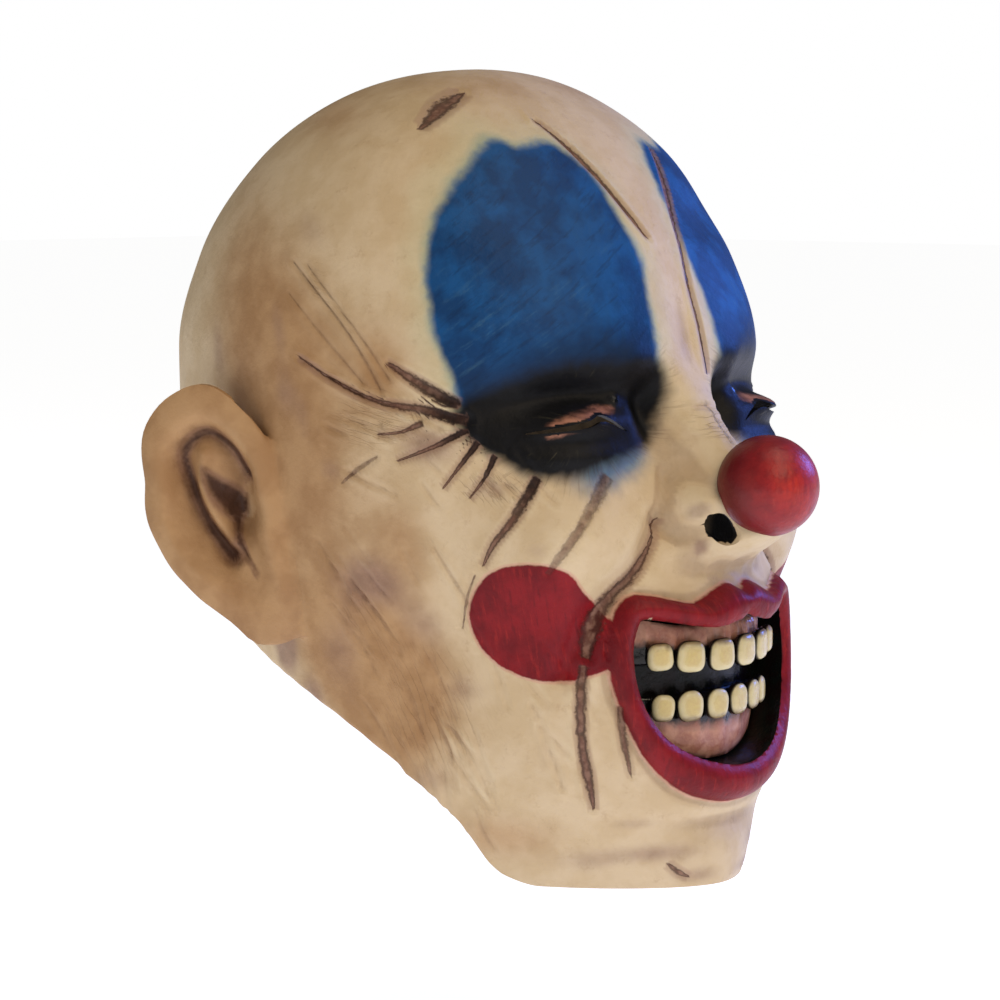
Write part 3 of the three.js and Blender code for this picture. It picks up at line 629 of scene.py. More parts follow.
pocket_wall = as_object("pocket_wall", *pocket(WALL))
pocket_wall = join_or_cut(pocket_wall, as_object("head_again", head, head_faces), "INTERSECT")
skin = join_or_cut(skin, pocket_wall, "UNION")
hollow, hollow_faces = pocket(0)
skin = join_or_cut(skin, as_object("mouth", hollow, hollow_faces), "DIFFERENCE")

# The slits that the wearer sees through, pointed at both ends, and the nostrils
slit_points = [(30.2, 114.4), (39.3, 110.2), (46.7, 112.3), (64.1, 114.4)]
CUT_OUT, CUT_IN = 6, 12  # how far a cut reaches out of the skin and into the head
slit_line, slit_walls = rounded(slit_points), rounded(slit_points, steps=30)
slit_half = 0.15 + EYE_SLIT / 2 * np.sin(math.pi * np.linspace(0, 1, len(slit_walls)))
cut_walls = []
for side in (-1, 1):
    rings = []
    for i, (x, y) in enumerate(slit_line):
        half = 0.15 + EYE_SLIT / 2 * math.sin(math.pi * i / (len(slit_line) - 1))
        corners = (half, CUT_OUT), (-half, CUT_OUT), (-half, -CUT_IN), (half, -CUT_IN)
        rings.append(np.array([face_points(side * x, y - up, lift) for up, lift in corners]))
    if side > 0:
        rings.reverse()
    slit = as_object("slit", *lofted(rings, rings[0].mean(0), rings[-1].mean(0)))
    skin = join_or_cut(skin, slit, "DIFFERENCE")
    x, y = slit_walls.T
    for deep in (0, 0.4, 0.8, 1.4, 2, 3):
        for edge in (y - slit_half, y + slit_half):
            cut_walls += [*face_points(side * x, edge, -deep)]
    at = face_points(side * NOSTRIL_ACROSS, NOSTRIL_DROP)
    rounds, tilt = np.radians(np.arange(24) * 15), math.radians(NOSTRIL_TILT)
    rings = []
    for angle in np.radians(np.arange(10, 180, 10)):
        x = 0.85 * NOSTRIL_RADIUS * np.sin(angle) * np.cos(rounds)
        y = np.full(24, -2.4 * NOSTRIL_RADIUS * math.cos(angle))
        z = 1.1 * NOSTRIL_RADIUS * np.sin(angle) * np.sin(rounds)
        y, z = y * math.cos(tilt) - z * math.sin(tilt), y * math.sin(tilt) + z * math.cos(tilt)
        rings.append(at + np.stack([x, y, z], 1))
    cut_walls += [p for ring in rings for p in ring if p[1] > at[1] + 2]
    bead = as_object("nostril", *lofted(rings, rings[0].mean(0), rings[-1].mean(0)))
    skin = join_or_cut(skin, bead, "DIFFERENCE")

# Where each colour lies, as distances in millimetres from its edge, the same on both sides
blue_patch = rounded([
    (24.5, 24.8), (34.8, 26.5), (42.1, 24.6), (50.5, 28.7), (64.3, 37.9), (76.7, 48.7), (84.4, 61.1),
    (88, 76.3), (87.7, 88.2), (84.4, 99.1), (81, 108), (60, 112), (34, 108), (20, 100), (16.7, 92.8),
    (14.6, 77.3), (12.4, 61.8), (13.5, 47.4), (15.7, 34.8), (20.1, 27.8),
], closed=True)
black_zone = rounded([
    (16.8, 91.9), (30.6, 92.5), (44.1, 92.6), (57.4, 95.2), (68.9, 99.4), (78.5, 102.8), (86, 108),
    (82, 116), (72.6, 122.6), (64.2, 126.9), (55.3, 128.5), (45.7, 126.8), (35.3, 122.6),
    (26.8, 120.5), (19.2, 117), (13.3, 108.5), (11.1, 100.8),
], closed=True)
lid_skin = rounded([
    (53.8, 110.1), (47, 108.2), (41.5, 106.7), (36, 105.9), (32.4, 106.8), (35, 108.8), (42, 110.6),
    (50, 114.1), (57, 115.8), (58, 112.5),
], closed=True)
cheek_lobe = rounded([
    (45.8, 169.6), (51.3, 163.8), (55.8, 157.7), (62.8, 154.7), (71.3, 154.6), (79.5, 157.7), (85.7, 164.9),
    (88.2, 172.8), (86, 181.1), (79.6, 187.2), (69.9, 190.8), (59, 191.9), (51.1, 189.6), (38, 183),
], closed=True)
lip_round = np.arange(-90, 270, 3.0)
lip_outside = lip_edge(lip_round, 2)
lip_shape = np.stack([
    lip_outside * np.cos(np.radians(lip_round)), MOUTH_DROP - lip_outside * np.sin(np.radians(lip_round)),
], 1)
# Soft airbrushed colour: middle and half sizes of each spot round and down the chart, and its strength
tan_spots = (
    (118, 205, 36, 60, 0.9), (96, 14, 44, 20, 0.5), (150, 110, 50, 96, 1.3), (108, 96, 18, 24, 0.6),
    (136, 184, 26, 30, 1.0), (112, 196, 30, 26, 0.4),
    (78, 244, 34, 14, 0.6), (106, 150, 18, 26, 0.5), (30, 6, 60, 10, 0.45),
)
# Mauve-brown airbrush that also paints shade: under the ear lobes, chin and lower lip, round the nostrils and
# in the hollows of the cheeks, temples and eyes
mauve_and_shade_spots = (
    (121, 162, 20, 15, 0.95), (104, 176, 16, 14, 0.55), (136, 186, 15, 24, 0.6), (146, 104, 9, 12, 0.6),
    (146, 84, 6, 17, 0.6), (180, 92, 9, 18, 0.6), (150, 203, 8, 12, 0.9), (14.5, 152, 2.5, 5, 1.1),
   
    (130, 127, 9, 7, 0.5), (161, 187, 9, 14, 1.5), (139, 112, 6, 14, 0.45), (92, 196, 12, 9, 0.5),
    (104, 226, 16, 9, 0.5), (26, 248, 28, 6, 0.7), (12, 256, 16, 5, 0.6), (15.5, 141, 3, 4, 1.2),
    (64, 150, 6, 6, 0.4), (35, 238, 16, 4, 0.5), (8, 118, 5, 8, 0.3), (122, 52, 12, 14, 0.4),
    (33, 165, 4, 5, 0.4), (66, 215, 5, 16, 0.3), (48, 251, 20, 7, 0.45),
    (94, 118, 18, 11, 0.85), (76, 131, 12, 6, 0.6),
)
# Where the latex is wrinkled
wrinkled = {
    "jaw": ((104, 204, 34, 40, 1.2), (126, 172, 16, 18, 0.8), (66, 238, 24, 12, 0.5)),
    "corner": ((112, 110, 22, 16, 1.2), (125, 70, 12, 20, 0.6)),
    "under_eye": ((76, 131, 22, 8, 1.2), (86, 150, 12, 10, 0.5)),
    "bridge": ((0, 114, 14, 12, 1.2),),
}


def spots(rows, x, y):
    return np.clip(sum(rise * bell(((x - a) / w) ** 2 + ((y - b) / h) ** 2) for a, b, w, h, rise in rows), 0, 1)


def paint_of(across, drop):
    """The paint's distances and shares at places on the head."""
    side = np.abs(across)
    best, second = np.full(np.shape(side), 50.0), np.full(np.shape(side), 50.0)
    across_line, ink = np.full(np.shape(side), 9.0), np.zeros(np.shape(side))
    for x, runs in ((side, groove_runs), (across, scar_runs)):
        for _, strength, line in runs:
            low, high = line[:, :2].min(0) - 12, line[:, :2].max(0) + 12
            here = (x > low[0]) & (x < high[0]) & (drop > low[1]) & (drop < high[1])
            off, half, past = stroke_mm(line, x[here], drop[here])
            gap = np.abs(off) - half
            nearer = gap < best[here]
            second[here] = np.where(nearer, best[here], np.minimum(second[here], gap))
            best[here] = np.where(nearer, gap, best[here])
            across_line[here] = np.where(nearer, np.clip(off / half, -9, 9), across_line[here])
            fresh = strength * (1 - ease(past, 0, 0.8)) * (1 - ease(gap, 1.4, 2.4))
            ink[here] = np.where(nearer, fresh, ink[here])
    # Where a place lies between two strokes, neither paints it
    ink = np.where(best > 0.05, ink * ease(second - best, 0.2, 1.4), ink)
    return {
        "blue_mm": outline_mm(blue_patch, side, drop),
        "black_mm": outline_mm(black_zone, side, drop),
        "lid_mm": outline_mm(lid_skin, side, drop),
        "red_mm": np.minimum(outline_mm(cheek_lobe, side, drop), outline_mm(lip_shape, side, drop)),
        "line_mm": best,
        "line_ink": ink,
        "line_across": across_line,
        "mouth_mm": 20 * lip_share(across, drop),
        "tan": spots(tan_spots, side, drop),
        "mauve_and_shade": spots(mauve_and_shade_spots, side, drop),
        "haze": bell((np.maximum(outline_mm(black_zone, side, drop), 0) / 13) ** 2) * ease(drop, 112, 121)
        * bell(((side - 37) / 24) ** 2),
        # painted shade: black along the edges of the eye slits
        "cut": 1 - ease(line_mm(slit_walls, side, drop, slit_half), 0.2, 1.4),
        "eyeball": bell(((side - 31.5) / 2.6) ** 2 + ((drop - 104.2) / 2.2) ** 2),
        **{name: spots(rows, side, drop) for name, rows in wrinkled.items()},
        "chart_x": side,
        "chart_y": drop,
        "chart_side": np.where(across > 0, 1.0, 0.0),
        "ray_turn": 20 * np.arctan2(drop - 111, side - 47),
        "ray_reach": np.hypot(drop - 111, side - 47),
    }


head_paint = paint_of(head_across, head_drop)
# Painted shade in the hollows and a painted highlight on the ridges: how far each point lies below the middle
# of those round it
rows = len(outer_shares)
relief = (big_relief(head_across, head_drop) + fine_relief(head_across, head_drop)).reshape(rows, -1)
near = sum(np.roll(np.roll(relief, i, 0), j, 1) for i in (-3, 0, 3) for j in (-4, 0, 4)) / 9
DEEP_HOLLOW = 0.9
crease_shade_ridge_light = np.clip((near - relief) / DEEP_HOLLOW, -1, 1)
crease_shade_ridge_light[:4] = crease_shade_ridge_light[-4:] = 0
head_paint["hollow"] = crease_shade_ridge_light.ravel()
# The floor of the ear's bowl is the side of the head, and carries on the ear's dark paint and painted shade
mirrored = head[1:-1].copy()
mirrored[:, 0] = np.abs(mirrored[:, 0])
offset = mirrored - EAR_CENTRE
along_ear = offset @ ear_back
ear_angle = np.degrees(np.arctan2(offset[:, 2], along_ear)) % 360
ear_share = np.hypot(along_ear, offset[:, 2]) / (
    EAR_HEIGHT / 2 * smooth_through(ear_outline[:, 0], ear_outline, 1, ear_angle)
)
*_, ear_height, ear_painted_shade = ear_face(ear_share, ear_angle)
in_front = (offset @ ear_out > ear_height - 1) & (offset @ ear_out < 16)
head_paint["ear_groove_shade"] = np.where((ear_share < 0.97) & in_front, ear_painted_shade, 0)

FAR = 50  # millimetres from an edge that a place never reaches
plain = {
    **dict.fromkeys(("blue_mm", "black_mm", "lid_mm", "red_mm", "line_mm", "mouth_mm"), FAR),
    **dict.fromkeys(("line_ink", "haze", "eyeball", *wrinkled, "chart_x", "chart_y", "chart_side"), 0),
    **dict.fromkeys(("ray_turn", "ray_reach", "hollow", "ear_groove_shade", "inside", "cut"), 0),
    "line_across": 9, "tan": 0.8, "mauve_and_shade": 0.1,
}
sources = [(head[1:-1], head_paint), (head[:1], {name: values[:1] for name, values in head_paint.items()})]
# The ears carry painted shade: dark in their grooves and bowl, and mauve-brown towards their lower part
for points, _, ear_shade in ears:
    sources.append((points, {
        "ear_groove_shade": ear_shade, "hollow": ear_shade * 0.4, "chart_x": points[:, 1] + 150, "chart_y": -points[:, 2],
        "tan": np.full(len(points), 1.0), "mauve_and_shade": 0.55 * ease(-points[:, 2], 140, 200),
    }))
# Painted shade: the inside of the face and the walls of the slits and nostrils are painted black, so that no
# light shows through them
cut_walls = np.array(cut_walls)
sources.append((inner, {"inside": np.ones(len(inner)), "cut": ease(-inner[:, 1], 15, 55)}))
hollow, _ = pocket(0)
sources.append((pocket(WALL)[0], {"inside": np.ones(len(hollow))}))
inward = np.full(len(hollow), -20.0)
sources.append((hollow, {"mouth_mm": inward, "red_mm": inward, "tan": inward * 0}))
sources.append((cut_walls, {"cut": np.ones(len(cut_walls)), "black_mm": np.full(len(cut_walls), -20.0)}))
tree = kdtree.KDTree(sum(len(points) for points, _ in sources))
count = 0
for points, _ in sources:
    for point in points.tolist():
        tree.insert(point, count)
        count += 1
tree.balance()

skin_points = mesh_points(skin.data)
found = [tree.find(p) for p in skin_points.tolist()]
nearest = np.array([f[1] for f in found])
NEW_POINT = 0.02  # a point this far from any that went into a cut was made by it
cut_here = np.array([f[2] for f in found]) > NEW_POINT

# Thin the hard seam where each ear grows out of the head, as the sculptor's clay would be blended
neighbours = np.array([e.vertices[:] for e in skin.data.edges])
beside_head, behind_cheek = 70, -30
near_ear = (np.abs(skin_points[:, 0]) > beside_head) & (skin_points[:, 1] > behind_cheek)
soft = (cut_here & near_ear).astype(float)
SEAM_REACH, SEAM_FADE, SEAM_PASSES = 5, 0.85, 14
both_ways = (neighbours[:, 0], neighbours[:, 1]), (neighbours[:, 1], neighbours[:, 0])
for _ in range(SEAM_REACH):
    spread = soft.copy()
    for here, there in both_ways:
        np.maximum.at(spread, here, soft[there] * SEAM_FADE)
    soft = spread
links = np.zeros(len(skin_points))
np.add.at(links, neighbours.ravel(), 1)
for _ in range(SEAM_PASSES):
    total = np.zeros_like(skin_points)
    for here, there in both_ways:
        np.add.at(total, here, skin_points[there])
    skin_points += 0.5 * soft[:, None] * (total / links[:, None] - skin_points)

for name, default in plain.items():
    values = np.concatenate([
        np.broadcast_to(np.asarray(fields.get(name, default), float), len(points)) for points, fields in sources
    ])[nearest]
    stored = skin.data.attributes.new(name, "FLOAT", "POINT")
    stored.data.foreach_set("value", values)
skin.data.vertices.foreach_set("co", (skin_points / 1000).ravel())
skin.data.shade_smooth()
skin.data.set_sharp_from_angle(angle=math.radians(60))

# Acrylic paint over latex rubber: matt to satin, airbrushed and brushed thin so that the cream ground
# shows. A brown wash darkens every crease and pale paint lightens the ridges, as painted shade and painted
# highlight, and mauve-brown paints shade under the ears, chin and lip. The latex itself is dull and
# slightly sticky-looking.


def painted(name, fields, charts, patterns, coats, grain):
    """A material of coats of paint. A pattern has its place, its sizes in mm, turn, detail and roughness;
    a coat has two tones and what mottles them, the limits it keeps to, its cover, its roughness and how
    many mm it stands up; the grain is how many mm each pattern stands up."""
    made = bpy.data.materials.new(name)
    made.use_nodes = True
    tree = made.node_tree
    shader = tree.nodes["Principled BSDF"]
    known = {field: add(tree, "Attribute", attribute_name=field).outputs["Fac"] for field in fields}
    places = {"solid": add(tree, "TexCoord").outputs["Object"]}
    for chart_name, axes in charts.items():
        places[chart_name] = add(tree, "CombineXYZ", {i: known[axis] for i, axis in enumerate(axes)})
    for pattern, place, sizes, turn, detail, rough in patterns:
        sizes = [size / 1000 for size in sizes] if place == "solid" else [*sizes[:2], 0.03]
        turned = add(tree, "Mapping", {
            "Vector": places[place], "Rotation": (0, 0, math.radians(turn)), "Scale": sizes,
        }, vector_type="TEXTURE")
        noise = {"Vector": turned, "Scale": 1, "Detail": detail, "Roughness": rough}
        known[pattern] = add(tree, "TexNoise", noise)
    colour, gloss, height = None, None, 0
    for light, dark, mottle, limits, cover, rough, *rise in coats:
        mottled = add(tree, "MapRange", {"Value": known[mottle], "From Min": 0.4, "From Max": 0.6})
        tone = add(tree, "Mix", {0: mottled, 6: linear(light), 7: linear(dark)}, data_type="RGBA")
        for source, start, end, ragged in limits:
            value, shift = known[source], 0
            for pattern, reach in ragged.items():
                value = add(tree, "Math", {0: known[pattern], 1: reach, 2: value}, operation="MULTIPLY_ADD")
                shift += reach / 2
            cover = add(tree, "MapRange", {
                "Value": value, "From Min": start + shift, "From Max": end + shift, "To Max": cover,
            }, interpolation_type="SMOOTHSTEP")
        if colour is None:
            colour, gloss = tone, rough
        else:
            colour = add(tree, "Mix", {0: cover, 6: colour, 7: tone}, data_type="RGBA")
            gloss = add(tree, "Mix", {0: cover, 2: gloss, 3: rough})
        for thick in rise:
            height = add(tree, "Math", {0: cover, 1: thick, 2: height}, operation="MULTIPLY_ADD")
    for pattern, rise in grain:
        height = add(tree, "Math", {0: known[pattern], 1: rise, 2: height}, operation="MULTIPLY_ADD")
    bump = add(tree, "Bump", {"Height": height, "Distance": 0.001})
    for socket, node in (("Base Color", colour), ("Roughness", gloss), ("Normal", bump)):
        tree.links.new(next(out for out in node.outputs if out.enabled), shader.inputs[socket])
    return made, shader


latex, shader = painted("painted_cast_latex", plain, {
    "face": ("chart_x", "chart_y", "chart_side"),
    "eye": ("ray_turn", "ray_reach", "chart_side"),
}, (
    ("cloud", "solid", (40, 40, 40), 0, 3, 0.5),  # airbrush
    ("blotch", "solid", (13, 13, 13), 0, 3, 0.55),
    ("patch", "solid", (5, 5, 5), 0, 3, 0.55),
    ("dash", "solid", (2.6, 2.6, 2.6), 0, 2, 0.6),  # where a dry brush skips
    ("speck", "solid", (1.2, 1.2, 1.2), 0, 4, 0.65),  # the real grain is finer and wouldn't show
    ("slanted", "face", (2.2, 16), -58, 4, 0.65),  # scuffs across the blue
    ("upright", "face", (1.8, 11), 4, 4, 0.65),  # brush strokes down the red
    ("rays", "eye", (3.2, 20), 0, 2, 0.5),  # feathered strokes out of the eye
    ("thin_rays", "eye", (0.8, 12), 0, 3, 0.6),
    ("jaw_run", "face", (2.4, 22), 27, 2, 0.55),  # how the wrinkles of each place run
    ("corner_run", "face", (15, 2.0), -15, 2, 0.55),
    ("under_run", "face", (1.6, 9), 38, 2, 0.55),
    ("bridge_run", "face", (10, 1.8), 0, 2, 0.5),
), (
    ("#D3BF9F", "#CBB592", "blotch", (), 1, 0.55),  # cream ground
    ("#B99F7C", "#AE9170", "speck", (("patch", 0.52, 0.78, {}), ("speck", 0.4, 0.6, {})), 0.35, 0.55),
    ("#C9C6A4", "#BFBE9C", "patch", (("blue_mm", 12, 1, {"blotch": 9}),), 0.45, 0.55),
    ("#B38D64", "#A27B54", "blotch", (("tan", 0.05, 0.95, {"cloud": 0.35, "blotch": 0.15}),), 0.9, 0.5),
    # mauve-brown airbrush and painted shade
    ("#94766A", "#866A60", "patch", (("mauve_and_shade", 0.1, 0.95, {"cloud": 0.2, "blotch": 0.3}),), 0.72, 0.5),
    # painted shade: a brown wash darkens every hollow
    ("#8B6A54", "#6B4A3A", "patch", (("hollow", 0.1, 0.9, {"speck": 0.3}),), 0.3, 0.45),
    # painted highlight: pale dry-brush on the ridges
    ("#E2D4B6", "#D8C8A4", "patch", (("hollow", -0.12, -0.7, {}), ("tan", 0.9, 0.2, {})), 0.3, 0.6),
    # brown lines in the wrinkles, which paint the shade in their creases
    *(("#7A5A48", "#8A6858", "patch", ((f"{run}_run", 0.455, 0.5, {}), (f"{run}_run", 0.545, 0.5, {}),
                                      (area, 0.2, 1, {"blotch": 0.5})), cover, 0.5, -rise)
      for run, area, cover, rise in (
          ("jaw", "jaw", 0.12, 1.0), ("corner", "corner", 0.15, 0.9), ("under", "under_eye", 0.22, 0.7),
          ("bridge", "bridge", 0.2, 0.8),
      )),
    ("#2A5F8C", "#3A6E8E", "patch", (("haze", 0.1, 0.85, {"blotch": 0.5, "rays": 0.2}),), 0.85, 0.5),
    ("#5A4238", "#6A4C3E", "patch",
     (("black_mm", 8, 1, {"blotch": 6}), ("thin_rays", 0.53, 0.66, {})), 0.3, 0.5),
    ("#4C8494", "#86A396", "patch", (("blue_mm", 3.5, -0.5, {"blotch": 5, "speck": 1}),), 0.6, 0.55),
    ("#17508A", "#123C6C", "blotch", (("blue_mm", 1.8, -1.6, {"patch": 1.6, "blotch": 2}),), 1, 0.5),
    ("#3D6F98", "#4A708C", "speck",
     (("blue_mm", 0, -4, {}), ("slanted", 0.53, 0.72, {}), ("cloud", 0.4, 0.62, {})), 0.4, 0.6),
    ("#10294C", "#0E2340", "speck", (("blue_mm", 0, -4, {}), ("slanted", 0.48, 0.34, {})), 0.4, 0.45),
    # painted shade: the blue darkens towards the black round the eye
    ("#0F1F3A", "#0B1628", "blotch", (("black_mm", 14, 0, {"blotch": 6}), ("blue_mm", 1, -3, {})), 0.75, 0.5),
    ("#0F1014", "#0A0B0E", "patch",
     (("black_mm", 3.4, -2.6, {"rays": 2.4, "blotch": 4, "patch": 1.5}),), 1, 0.5),
    # olive dry-brush on the ridges inside the black, also a painted highlight
    ("#5E5A44", "#45433A", "speck",
     (("black_mm", -1, -5, {}), ("rays", 0.53, 0.7, {}), ("thin_rays", 0.5, 0.62, {}),
      ("hollow", 0.05, -0.3, {})),
     0.5, 0.45),
    ("#A87560", "#84594A", "patch",
     (("lid_mm", 1.0, -1.4, {"patch": 2, "thin_rays": 1.2, "speck": 0.8}),), 1, 0.4),
    ("#101318", "#0A0B0E", "patch", (("eyeball", 0.35, 0.7, {}),), 1, 0.06),
    ("#D2A592", "#C4917C", "patch", (("red_mm", 1.2, 0.4, {"patch": 1, "speck": 0.5}),), 0.7, 0.5),
    ("#861921", "#6C121B", "blotch", (("red_mm", 0.35, -0.35, {"patch": 1, "speck": 0.5}),), 1, 0.42, 0.15),
    ("#A62A27", "#962224", "speck",
     (("red_mm", 0, -1.5, {}), ("upright", 0.52, 0.72, {"blotch": 0.2})), 0.6, 0.42),
    ("#5E1118", "#6A141E", "speck", (("red_mm", 0.2, -1, {}), ("upright", 0.46, 0.33, {})), 0.55, 0.36),
    ("#A08070", "#8E6C5A", "patch",
     (("line_mm", 3.4, 0.2, {"patch": 2.5}), ("line_ink", 0.3, 0.9, {}), ("red_mm", 0, 1, {})), 0.55, 0.5),
    ("#3B2620", "#4A2F2A", "patch",
     (("line_across", 1.7, 0.9, {"dash": 1.7, "speck": 1.1}),
      ("line_across", -1.7, -0.9, {"dash": -1.7, "speck": -1.1}),
      ("line_ink", 0.08, 0.8, {"dash": 0.5, "patch": 0.4})), 0.85, 0.42, -0.22),
    ("#A07C6A", "#7A5648", "dash",
     (("line_across", 0.9, 0.3, {"dash": 1.2}), ("line_across", -0.9, -0.3, {"dash": -1.2}),
      ("line_ink", 0.3, 0.7, {}), ("patch", 0.3, 0.5, {})), 0.6, 0.42, 0.12),
    ("#1C1212", "#2A1B18", "speck",
     (("line_across", 2, 1, {"dash": 1.8, "speck": 1.2}),
      ("line_across", -2, -1, {"dash": -1.8, "speck": -1.2}),
      ("line_ink", 0.3, 0.8, {"dash": 0.3}), ("black_mm", 15, 2, {"patch": 9})), 0.9, 0.42),
    ("#120A0A", "#0E1210", "patch", (("mouth_mm", 0.8, -2.2, {"patch": 1.6, "speck": 0.8}),), 1, 0.22),
    # dark brown paint and painted shade in the ear's grooves, bowl and folds
    ("#7E5E50", "#664636", "patch", (("ear_groove_shade", 0.1, 0.6, {"patch": 0.3}),), 0.7, 0.45),
    ("#4A3026", "#38221B", "patch", (("ear_groove_shade", 0.6, 1.0, {"patch": 0.2}),), 0.85, 0.4),
    # raw latex inside, made dark brown as painted shade of the hollow head
    ("#6E5F4A", "#5C4F3E", "patch", (("inside", 0.4, 0.6, {}),), 1, 0.7),
    # painted shade: black inside the face and at the slits and nostrils
    ("#0B0B0D", "#08080A", "patch", (("cut", 0.3, 0.7, {}),), 1, 0.5),
), (("patch", 0.3), ("dash", 0.12), ("speck", 0.12)))
shader.inputs["IOR"].default_value = 1.49
shader.inputs["Specular IOR Level"].default_value = 0.16
skin.data.materials.clear()
skin.data.materials.append(latex)
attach(skin, "root")
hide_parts("mask_skin")

# Nose ball: a hollow latex ball cast on its own, dipped in red paint and pushed over the nose. It is
# not quite round, and the red is painted lighter and orange in front and dark where it turns under, a painted
# highlight and painted shade.
BALL_RADIUS, BALL_WALL, BALL_SEAT = 16, 2, 2.6
nose_tip = face_points(0.0, 135.5)


def ball(radius, rounds, levels, lumps):
    rings = []
    around = 2 * math.pi * np.arange(rounds) / rounds
    for angle in np.pi * np.arange(1, levels) / levels:
        way = np.stack([
            math.sin(angle) * np.cos(around),
            np.full(rounds, -math.cos(angle)),
            math.sin(angle) * np.sin(around),
        ], 1)
        swell = 1 + lumps * (
            np.sin(2.1 * way[:, 0] + 1.7 * way[:, 2] + 0.6) * 0.6
            + np.cos(3.3 * way[:, 2] - 2.2 * way[:, 1]) * 0.4
        )
        rings.append(nose_tip + (0, -BALL_SEAT, 0) + radius * way * swell[:, None])
    return lofted(rings, nose_tip + (0, -BALL_SEAT - radius, 0), nose_tip + (0, -BALL_SEAT + radius, 0))


nose = as_object("nose_ball_latex", *ball(BALL_RADIUS, 96, 48, 0.012))
nose = join_or_cut(nose, as_object("ball_inside", *ball(BALL_RADIUS - BALL_WALL, 48, 24, 0)), "DIFFERENCE")
seat, seat_faces, *_ = dome(ring_turns((0, 60, 60), (60, 180, 12)), np.linspace(0.02, 1, 160), GAP)
nose = join_or_cut(nose, as_object("seat", seat, seat_faces), "DIFFERENCE")
nose.data.vertices.foreach_set("co", (mesh_points(nose.data) / 1000).ravel())
nose.data.shade_smooth()
nose.data.set_sharp_from_angle(angle=math.radians(50))

# Dipped red latex paint: satin, with runs; lighter orange in front and dark at the rim, as painted highlight
# and painted shade
spots_of = mesh_points(nose.data) * 1000 - (nose_tip + (0, -BALL_SEAT, 0))
spots_of /= np.linalg.norm(spots_of, axis=1, keepdims=True)
painted_light_facing = spots_of @ (0.1, -0.98, 0.1)
nose.data.attributes.new("painted_light_facing", "FLOAT", "POINT").data.foreach_set("value", painted_light_facing)
dipped, shader = painted("dipped_red_latex", ("painted_light_facing",), {}, (
    ("blotch", "solid", (15, 15, 15), 0, 3, 0.55),
    ("patch", "solid", (4, 4, 4), 0, 3, 0.55),
    ("speck", "solid", (1.3, 1.3, 1.3), 0, 4, 0.6),
    ("runs", "solid", (2, 2, 9), 8, 3, 0.6),
), (
    ("#6E151B", "#5E1017", "blotch", (), 1, 0.42),
    ("#971E22", "#861A20", "patch", (("painted_light_facing", -0.35, 0.75, {"blotch": 0.8}),), 1, 0.4),
    ("#BC2F24", "#A82822", "patch",
     (("painted_light_facing", 0.45, 1.15, {"blotch": 0.9}), ("runs", 0.3, 0.6, {})), 0.85, 0.4),
    ("#C8523E", "#B8443A", "speck", (("runs", 0.58, 0.74, {}), ("painted_light_facing", 0.1, 0.9, {})), 0.35, 0.36),
    ("#5F1013", "#6B1216", "patch", (("speck", 0.58, 0.74, {}), ("painted_light_facing", 0.95, 0.1, {})), 0.5, 0.4),
), (("patch", 0.3), ("speck", 0.08)))
shader.inputs["IOR"].default_value = 1.5
shader.inputs["Specular IOR Level"].default_value = 0.35
nose.data.materials.clear()
nose.data.materials.append(dipped)
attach(nose, "root")
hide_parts("nose_ball")

# Gums: two ridges of soft latex set in the mouth pocket, folded above the upper teeth and smooth
# below the lower ones, painted flesh pink and then glossy black where the two rows meet.
ARCH_RADIUS, GUM_RISE, OVERBITE, TOOTH_WIDTH, TOOTH_HEIGHT, TOOTH_THICKNESS = 41.5, 4.2, 2.4, 10, 10.4, 4.4
tooth_rows = {  # level, the places of a side's three teeth off the midline, width as a share, reach forward
    "upper": (WALL - 185.1, (5.9, 17.5, 26.9), 1.05, OVERBITE),
    "lower": (WALL - 201.2, (5.2, 15.6, 24.3), 0.96, 0),
}


def arch_y(row, x):
    return floor_y(0) - GUM_RISE - tooth_rows[row][3] + x * x / (2 * ARCH_RADIUS)


def mouth_edge_at(x, upper):
    """Height of the lips' inner edge at a place across the mouth."""
    z = mouth_middle[2]
    for a, b in zip(lip_line, np.roll(lip_line, -1, 0)):
        if (a[0] - x) * (b[0] - x) <= 0 and a[0] != b[0]:
            here = a[2] + (b[2] - a[2]) * (x - a[0]) / (b[0] - a[0])
            z = max(z, here) if upper else min(z, here)
    return z


def gum(row):
    upper = row == "upper"
    up = 1 if upper else -1
    level, places, _, _ = tooth_rows[row]
    half = places[2] + TOOTH_WIDTH / 2
    free = level - up * 0.28 * TOOTH_HEIGHT
    columns = np.linspace(-1, 1, 97)
    shape = np.array([
        (0, 0), (0, 0.4), (0.02, 0.75), (0.07, 0.93), (0.14, 1), (0.26, 1), (0.38, 1), (0.5, 1),
        (0.62, 0.99), (0.74, 0.96), (0.85, 0.9), (0.93, 0.78), (1, 0.55), (1, 0.25), (1, 0),
    ])
    rings, shares = [], []
    for column in columns:
        x = half * column
        taper = 1 - abs(column) ** 6
        root = mouth_edge_at(x, upper) - up * 2 * GAP
        rear = floor_y(x) - GAP
        face = min(arch_y(row, x), rear - WALL)
        folds = 0.3 * math.cos(math.pi * x / 5.2)
        if upper:
            folds = 0.5 * math.sin(x * 1.7 + 1.2 * math.sin(x * 0.7))
        ring = []
        for share, forward in shape:
            lump = folds * forward * min(1, 4 * share * (1 - share))
            y = rear + (face - rear) * forward * (0.45 + 0.55 * taper) - lump * (forward > 0.5)
            ring.append((x, y, free + (root - free) * share))
        rings.append(np.array(ring if upper else ring[::-1]))
        shares.append(shape[:, 0] if upper else shape[::-1, 0])
    points, faces = lofted(rings, rings[0].mean(0), rings[-1].mean(0))
    return points, faces, np.concatenate([[0.5], np.ravel(shares), [0.5]])


